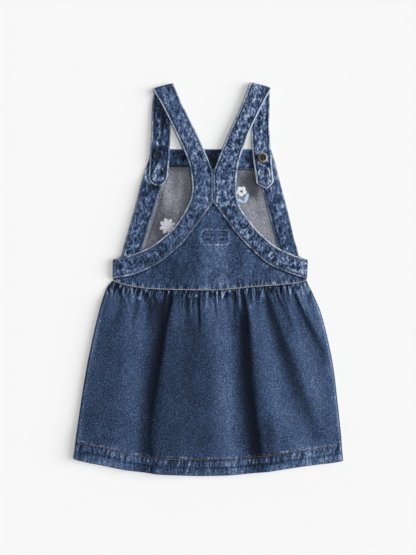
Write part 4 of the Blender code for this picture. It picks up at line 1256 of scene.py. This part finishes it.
def facing_sheet(across, along):
    """Where the top facing's vertices go."""
    top_y = BIB_TOP - 1.0
    left, right = edges_at(BIB_SIDES, top_y - BAND_WIDTH * along)
    left, right = left + 1.0, right - 1.0
    x = left + (right - left) * across
    y = top_y + (smooth_at(FACING_EDGE, x) - top_y) * along
    from_edge = (1 - along) * BAND_WIDTH
    height, fade_and_shade = pucker(x, y, from_edge, BAND_WIDTH, 52.0)
    z = LAYER + CLOTH + 0.35 * height
    # The facing's lower edge is painted darker as painted shade; its right end is lighter.
    fade_and_shade = 1.0 * fade_and_shade - 0.08 + tones(x, y, FACING_TONES) + 0.4 * bump_at(right - x, 0.0, 1.2)
    fade_and_shade -= 0.34 * (1 - ease(0.8, 3.0, from_edge))
    return x, y, z, fade_and_shade, x, y


# Patches of painted shade and fading on the side bands, such as the shadow below the left tab
SIDE_TONES = [
    (-86, 144, 6, 16, -0.05), (-78, 100, 7, 8, 0.14), (93, 136, 3, 8, 0.4), (-88, 80, 6, 7, -0.12),
    (-87, 96, 6, 16, -0.1), (102, 98, 4, 22, 0.16), (-70, 121, 7, 8, -0.3), (-91, 48, 7, 8, -0.14),
    (86, 90, 30, 50, 0.08), (90, 86, 6, 8, -0.18), (93, 60, 6, 9, -0.24),
]
BAND_ROLL, BAND_ROLL_LIGHT = 4.6, 0.32   # the left band's outer edge rolls up, and is painted lighter as painted light


def side_band_sheet(side):
    """A function for one side band's vertices: side is -1 on the left, 1 on the right."""
    edge_column = 1 if side < 0 else 2
    rolled, lit = (BAND_ROLL, BAND_ROLL_LIGHT) if side < 0 else (0.0, 0.0)
    top_y = float(smooth_at(FACING_EDGE, np.array(side * TAB_PLACE))) - GAP - 0.4

    def place(across, along):
        y = BIB_BAND_END + (top_y - BIB_BAND_END) * along
        outer = smooth_at(BIB_SIDES, y, edge_column) + side * 0.3
        inner = smooth_at(BIB_BAND_EDGES, y, edge_column)
        left, right = (outer, inner) if side < 0 else (inner, outer)
        x = left + (right - left) * across
        width = np.abs(outer - inner)
        height, fade_and_shade = pucker(x, y, across * width, width, 60.0 + 5 * side)
        z = LAYER + CLOTH + 0.5 * height
        under_tab = ease(114.0, 124.0, y) * ease(-87.0, -83.0, x)
        roll = ease(0.0, 0.16, across) * (1 - ease(0.3, 1.0, across)) * (1 - under_tab)
        z += rolled * roll
        inside = np.abs(x - inner)
        # The stitch groove is painted darker as painted shade, and the left band's rolled edge
        # lighter as painted light.
        fade_and_shade = 1.2 * fade_and_shade - 0.14 * bump_at(inside, 4.0, 0.9) - 0.08
        fade_and_shade += tones(x, y, SIDE_TONES)
        fade_and_shade += lit * (1 - ease(2.0, 8.0, np.abs(x - outer)))
        return x, y, z, fade_and_shade, x, y

    return place


facing = cloth("bib_facing_cloth", 120, 22, facing_sheet, [denim_band, denim_reverse])
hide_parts("bib_top_facing")
for name, side in SIDES:
    looks = [denim_band, denim_reverse]
    band = cloth(f"bib_side_{name}_cloth", 26, 110, side_band_sheet(side), looks)
    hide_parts(f"bib_side_band_{name}")

# %% [markdown]
# ## Buttons
#
# A ring with a dished middle and four holes, pressed into a grid that runs once round the
# button. The right one is grey-beige; the left one lies in the strap's shade and is painted
# nearly black as painted shade.

# %% Button form
# distance from the middle, height over the strap
BUTTON_PROFILE = [
    (0, 1), (3.5, 1), (4, 1.3), (4.4, 2.3), (4.9, 2.8), (5.6, 2.9), (6.3, 2.6), (6.7, 2),
    (6.8, 1.3), (6.6, 0.6), (6.2, 0.3),
]
# side, place across and along, height
BUTTONS = [("left", -68.0, 166.0, 5.9), ("right", 73.4, 163.6, 5.9)]
HOLE_PLACE, HOLE_RADIUS, HOLE_DEPTH = 1.75, 0.85, 0.8
BUTTON_GRID = (72, 60)


def button_piece(name, x, y, z, finish):
    """A button from a grid: across runs round it, along from the middle to below."""
    across, along = shares(*BUTTON_GRID)
    place = along * (len(BUTTON_PROFILE) - 1)
    radius = along_rows(BUTTON_PROFILE, 0, place, range(len(BUTTON_PROFILE)))
    height = along_rows(BUTTON_PROFILE, 1, place, range(len(BUTTON_PROFILE)))
    turn = 2 * math.pi * across
    at_x, at_y = radius * np.cos(turn), radius * np.sin(turn)
    to_hole = np.hypot(np.abs(at_x) - HOLE_PLACE, np.abs(at_y) - HOLE_PLACE)
    hole = 1 - ease(HOLE_RADIUS - 0.25, HOLE_RADIUS + 0.25, to_hole)
    points = np.stack([x + at_x, y + at_y, z + height - HOLE_DEPTH * hole], -1)
    # The ring is painted lighter on its right and darker on its left: painted light and painted
    # shade.
    fade_and_shade = ease(3.6, 4.8, radius) * (0.78 + 0.035 * at_x) - 0.4 * hole
    mesh, _ = mapped_grid(*BUTTON_GRID, points, fade_and_shade, np.stack([at_x, at_y], -1))
    close_up(mesh)
    return finish_piece(name, mesh, [finish])


def button_finish(name, middle, ring, metallic):
    """Painted metal, darker in the dish."""
    finish = Finish(name)
    speck = finish.speckle(0.8, 0.8, 3.0, 0.6)
    colour = finish.ramp([(0.0, middle), (0.5, middle), (1.0, ring)], finish.worn() + speck * 0.5)
    return finish.shade(
        Base_Color=colour, Roughness=0.6, Metallic=metallic, Specular_IOR_Level=0.2
    )


# The left button has a darker copy of the finish, nearly black: painted shade for the strap's
# shadow on it.
button_finishes = {
    "left": button_finish("button_shaded", (0.010, 0.018, 0.038), (0.020, 0.032, 0.065), 0.0),
    "right": button_finish("button_metal", (0.018, 0.018, 0.020), (0.400, 0.370, 0.340), 0.2),
}
for side, x, y, z in BUTTONS:
    button = button_piece(f"button_{side}_fine", x, y, z, button_finishes[side])
    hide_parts(f"button_{side}")

# %% [markdown]
# ## Sewing
#
# Every row of stitches follows a drawn line at a set distance from an edge. Each stitch is
# a small thread capsule that lies on the cloth below it, which a ray finds.

# %% Stitch rows
DOWN = Vector((0, 0, -1))
RAY_START, RAY_REACH = 3.5, 16.0     # where a ray starts over its line, and how far it looks
BATCH = 25                           # stitches made at a time


def surface_of(piece):
    """The piece's own surface, for rays in mm."""
    places = [vert.co / MM for vert in piece.data.vertices]
    return BVHTree.FromPolygons(places, [face.vertices[:] for face in piece.data.polygons])


def spaced(line, pitch):
    """Points every pitch along a line, and the directions there."""
    line = np.asarray(line, float)
    steps = np.linalg.norm(np.diff(line, axis=0), axis=1)
    at = np.concatenate([[0.0], np.cumsum(steps)])
    where = np.arange(pitch / 2, at[-1], pitch)
    points, ahead, behind = (
        np.stack([np.interp(where + shift, at, column) for column in line.T], -1)
        for shift in (0.0, 0.5, -0.5)
    )
    return points, ahead - behind


def stitch(mesh, place, along, normal, length, width):
    """One thread capsule lying along the cloth."""
    along = (along - normal * along.dot(normal)).normalized()
    frame_of = Matrix((along * length / 2, normal.cross(along) * width / 2, normal * width * 0.4))
    turned = Matrix.Translation(place * MM) @ (frame_of.transposed() * MM).to_4x4()
    bmesh.ops.create_uvsphere(mesh, u_segments=6, v_segments=4, radius=1.0, matrix=turned)


def pour(batch, mesh):
    """Move a batch's faces into the mesh; small batches keep the operators quick."""
    data = bpy.data.meshes.new("batch")
    batch.to_mesh(data)
    batch.clear()
    mesh.from_mesh(data)
    bpy.data.meshes.remove(data)


def sew(name, rows, finish, pitch, length, width):
    """Stitches along rows of (surface, line): a ray down from the line finds the cloth."""
    mesh, batch = bmesh.new(), bmesh.new()
    for surface, line in rows:
        points, directions = spaced(line, pitch)
        for i, (point, direction) in enumerate(zip(points, directions)):
            start = Vector(point) - RAY_START * DOWN
            hit, normal, _, _ = surface.ray_cast(start, DOWN, RAY_REACH)
            if hit is None:
                continue
            normal = normal if normal.z > 0 else -normal
            sway = 1 + 0.1 * math.sin(2.3 * i)
            stitch(batch, hit + normal * 0.1, Vector(direction), normal, length * sway, width)
            if i % BATCH == BATCH - 1:
                pour(batch, mesh)
        pour(batch, mesh)
    batch.free()
    for face in mesh.faces:
        face.smooth = True
    piece = finish_piece(name, mesh, [finish])
    return piece


def thread(name, colour, spread):
    """Matte sewing thread, a little uneven in colour."""
    finish = Finish(name)
    place = finish.node("ShaderNodeTexCoord", {}, {}, "Object")
    inputs = {"Vector": place, "Scale": 260.0, "Detail": 2.0}
    uneven_colour = finish.node("ShaderNodeTexNoise", {}, inputs)
    dark = tuple(channel * (1 - spread) for channel in colour)
    light = tuple(channel * (1 + spread) for channel in colour)
    mixed = finish.ramp([(0.3, dark), (0.7, light)], uneven_colour)
    return finish.shade(Base_Color=mixed, Roughness=0.9, Specular_IOR_Level=0.1)


thread_pale = thread("thread_pale", (0.44, 0.41, 0.40), 0.35)
thread_copper = thread("thread_copper", (0.175, 0.106, 0.070), 0.4)
thread_black = thread("thread_black", (0.022, 0.018, 0.018), 0.6)
thread_brown = thread("thread_brown", (0.110, 0.076, 0.058), 0.5)
thread_dark = thread("thread_dark", (0.035, 0.038, 0.050), 0.5)
thread_light = thread("thread_light", (0.30, 0.34, 0.42), 0.4)

# %% Waist, hem, yoke and bib
def flat_line(points, z):
    """Points on the page at one height, from a smooth line through a table."""
    along = np.linspace(points[0][0], points[-1][0], 200)
    return np.stack([along, smooth_at(points, along), 0 * along + z], -1)


on_yoke, on_skirt = surface_of(yoke), surface_of(skirt_back)
on_bib, on_facing = surface_of(bib), surface_of(facing)
waist_line = flat_line([(x, y + 0.9) for x, y in WAIST], 12.0)
sew("stitches_waist", [(on_yoke, waist_line)], thread_pale, 2.8, 2.5, 1.45)
sew("stitches_hem", [(on_skirt, flat_line(HEM_STITCH, 14.0))], thread_copper, 3.0, 2.9, 1.2)
(x0, x1), (y0, y1), cut = LABEL_X, LABEL_Y, 3.0
corners = [(x0 + cut, y0), (x1 - cut, y0), (x1, y0 + cut), (x1, y1 - cut), (x1 - cut, y1)]
corners += [(x0 + cut, y1), (x0, y1 - cut), (x0, y0 + cut), (x0 + cut, y0)]
corners = [(x, y, 10.0) for x, y in corners]
sew("stitches_label", [(on_yoke, corners)], thread_light, 4.4, 1.4, 0.6)
facing_line = flat_line([(x, y + 1.6) for x, y in FACING_EDGE], 4.0)
for side, low, high, finish in (("left", -60, 0, thread_dark), ("right", 20, 66, thread_light)):
    part = facing_line[(facing_line[:, 0] > low) & (facing_line[:, 0] < high)]
    sew(f"stitches_facing_{side}", [(on_facing, part)], finish, 2.7, 1.7, 0.9)
side_rows = []
for name, side in SIDES:
    surface = surface_of(pieces[f"bib_side_{name}_cloth"])
    y, *edges = np.array(BIB_BAND_EDGES).T
    for inset in (2.0, 6.5):
        x = edges[0 if side < 0 else 1] + side * inset
        side_rows.append((surface, np.stack([x, y, 0 * x + 4.0], -1)))
sew("stitches_bib_sides", side_rows, thread_dark, 2.6, 2.1, 0.8)


# %% Straps
def strap_line(strap, start, end, inset, from_outer):
    """Line along a strap at a distance from one of its edges."""
    distance = np.arange(start, end, 1.0)
    outer, inner, _ = strap.at(distance)
    share = inset / strap.width(distance)
    share = share if from_outer else 1 - share
    return outer + (inner - outer) * share[:, None]


def inset_outline(outline, inset):
    """The outline moved inwards on the page, without its crossed parts."""
    tangent = np.gradient(outline[:, :2], axis=0)
    tangent /= np.linalg.norm(tangent, axis=1)[:, None]
    normal = np.stack([-tangent[:, 1], tangent[:, 0]], -1)
    best = None
    for way in (1, -1):
        moved = outline[:, :2] + way * inset * normal
        gaps = np.linalg.norm(moved[:, None] - outline[None, :, :2], axis=2).min(axis=1)
        inside = np.ptp(moved[:, 0]) < np.ptp(outline[:, 0])
        if inside:
            best = moved[gaps > inset - 0.25], outline[gaps > inset - 0.25, 2]
    return np.concatenate([best[0], best[1][:, None]], axis=1)


BAND_END = 175.0                 # where a band leaves the yoke and becomes a strap
on_strap = {side: surface_of(pieces[f"strap_{side}_cloth"]) for side, _ in SIDES}
band_rows, strap_rows = [], []
for side, strap in (("left", left_strap), ("right", right_strap)):
    surface = on_strap[side]
    for from_outer in (True, False):
        band_rows.append((surface, strap_line(strap, 1.5, BAND_END, STITCH_INSET, from_outer)))
        line = strap_line(strap, BAND_END, strap.fold_start, STITCH_INSET, from_outer)
        strap_rows.append((surface, line))
    distance = np.arange(strap.fold_end, strap.length, 0.8)
    outer, inner, _ = strap.at(distance)
    outline = np.concatenate([outer, inner[::-1]])
    strap_rows.append((surface, inset_outline(outline, STITCH_INSET)))
sew("stitches_bands", band_rows, thread_brown, 2.8, 2.2, 1.6)
sew("stitches_straps", strap_rows, thread_black, 2.8, 1.7, 2.3)

# %% Buttonholes in the tabs
BUTTONHOLES = [("left", -66.0, 143.0), ("right", 78.0, 143.0)]
BUTTONHOLE_LONG, BUTTONHOLE_BARS = 15.0, 13
hole_rows = []
for side, x, y in BUTTONHOLES:
    for i in range(BUTTONHOLE_BARS):
        at_y = y + BUTTONHOLE_LONG * (i / (BUTTONHOLE_BARS - 1) - 0.5)
        for way in (-1, 1):
            bar = [(x + way * 0.5, at_y, 6.0), (x + way * 2.3, at_y, 6.0)]
            hole_rows.append((on_strap[side], np.array(bar)))
sew("stitches_buttonholes", hole_rows, thread_dark, 1.8, 1.7, 0.8)

# %% [markdown]
# ## Embroidery seen from its back
#
# Two small embroidered motifs show their backs on the inside of the bib. They are plain
# designs of this lesson's own: a flower of eight petals, and one of five over two leaves.


# %% Motifs
ROUND = (0, 0.0)                 # an outline is its petals' number and depth
MOTIF_GRID = (96, 12)


def petals(turn, count, deep):
    """Outline of a flower with so many petals, as a share of its radius."""
    return 1 - deep + deep * np.abs(np.cos(count * turn / 2)) ** 0.7


def motif(name, x, y, radius, outline, finish, lean=0.0, squeeze=1.0, lift=0.35):
    """A low embroidered patch on the bib."""
    across, along = shares(*MOTIF_GRID)
    turn = 2 * math.pi * across
    ragged = 1 + 0.10 * noise_field(9 * np.cos(turn), 9 * np.sin(turn), x)
    reach = radius * petals(turn, *outline) * ragged * along
    at_x, at_y = reach * np.cos(turn), squeeze * reach * np.sin(turn)
    page_x = x + at_x * math.cos(lean) - at_y * math.sin(lean)
    page_y = y + at_x * math.sin(lean) + at_y * math.cos(lean)
    z = np.zeros_like(page_x)
    for j, i in np.ndindex(z.shape):
        above = Vector((page_x[j, i], page_y[j, i], 6.0))
        z[j, i] = on_bib.ray_cast(above, DOWN)[0].z
    stripes = np.sin(turn * 44) * ease(0.1, 0.5, along)
    z += (lift + 0.08 * stripes) * (1 - along ** 6) - 0.15 * along ** 6
    fade_and_shade = 0.25 * stripes + 0.5 * noise_field(page_x / 1.6, page_y / 1.6, 50.0)
    points = np.stack([page_x, page_y, z], -1)
    mesh, _ = mapped_grid(*MOTIF_GRID, points, fade_and_shade, np.stack([page_x, page_y], -1))
    close_up(mesh, capped=False)
    face_up(mesh)
    piece = finish_piece(name, mesh, [finish])
    return piece


def embroidery(name, dark, light):
    """Embroidery thread between two colours."""
    finish = Finish(name)
    colour = finish.ramp([(0.2, dark), (0.7, light)], finish.worn() + 0.5)
    return finish.shade(Base_Color=colour, Roughness=0.7)


white_thread = embroidery("embroidery_white", (0.42, 0.43, 0.47), (0.86, 0.87, 0.90))
grey_thread = embroidery("embroidery_grey", (0.33, 0.33, 0.38), (0.66, 0.65, 0.72))
blue_thread = embroidery("embroidery_blue", (0.20, 0.34, 0.50), (0.48, 0.66, 0.84))
dark_thread = embroidery("embroidery_dark", (0.03, 0.03, 0.04), (0.12, 0.12, 0.15))
motif("motif_left", -55.0, 71.3, 11.6, (8, 0.42), grey_thread, 0.3)
motif("motif_right", 45.0, 118.5, 7.6, (5, 0.30), white_thread, 0.9)
motif("motif_right_eye", 45.3, 118.3, 2.2, ROUND, dark_thread, 0, 1, 0.6)
motif("motif_right_leaf", 51.5, 109.0, 7.4, ROUND, blue_thread, 1.2, 0.34)
motif("motif_right_sprig", 43.5, 105.5, 5.6, ROUND, blue_thread, -0.4, 0.36)

# %% [markdown]
# ## Light and floor
#
# The photograph's light comes low from the right and softly from above, so the dress
# throws a soft shadow to its left only. Two suns of large angle and a white sky give the
# same. The standard view transform keeps the colours as they are measured.

# %% Floor
FLOOR_LEVEL = -0.0002            # just below what rests on it

mesh = bmesh.new()
bmesh.ops.create_grid(mesh, x_segments=1, y_segments=1, size=3.0)
floor_data = bpy.data.meshes.new("floor")
mesh.to_mesh(floor_data)
mesh.free()
floor_finish = Finish("pale_floor")
floor_data.materials.append(floor_finish.shade(Base_Color=(0.86, 0.86, 0.86, 1), Roughness=1.0))
floor = add_object("floor", floor_data)
floor.location.z = FLOOR_LEVEL


# %% Suns and sky
def sun(name, azimuth, elevation, angle, strength):
    """Sun light: azimuth from +X towards +Y, all angles in degrees."""
    data = bpy.data.lights.new(name, "SUN")
    data.energy = strength
    data.angle = math.radians(angle)
    a, e = math.radians(azimuth), math.radians(elevation)
    towards = Vector((math.cos(a) * math.cos(e), math.sin(a) * math.cos(e), math.sin(e)))
    add_object(name, data).rotation_euler = towards.to_track_quat("Z", "Y").to_euler()


sun("key", 2.0, 29.0, 44.0, 3.15)
sun("overhead", 10.0, 78.0, 20.0, 1.42)
world = bpy.data.worlds.new("sky")
world.use_nodes = True
world.node_tree.nodes["Background"].inputs["Color"].default_value = (1.0, 1.0, 1.0, 1.0)
world.node_tree.nodes["Background"].inputs["Strength"].default_value = 0.16
bpy.context.scene.world = world
bpy.context.scene.view_settings.view_transform = "Standard"

# %% Bring the scene up to date
bpy.context.view_layer.update()
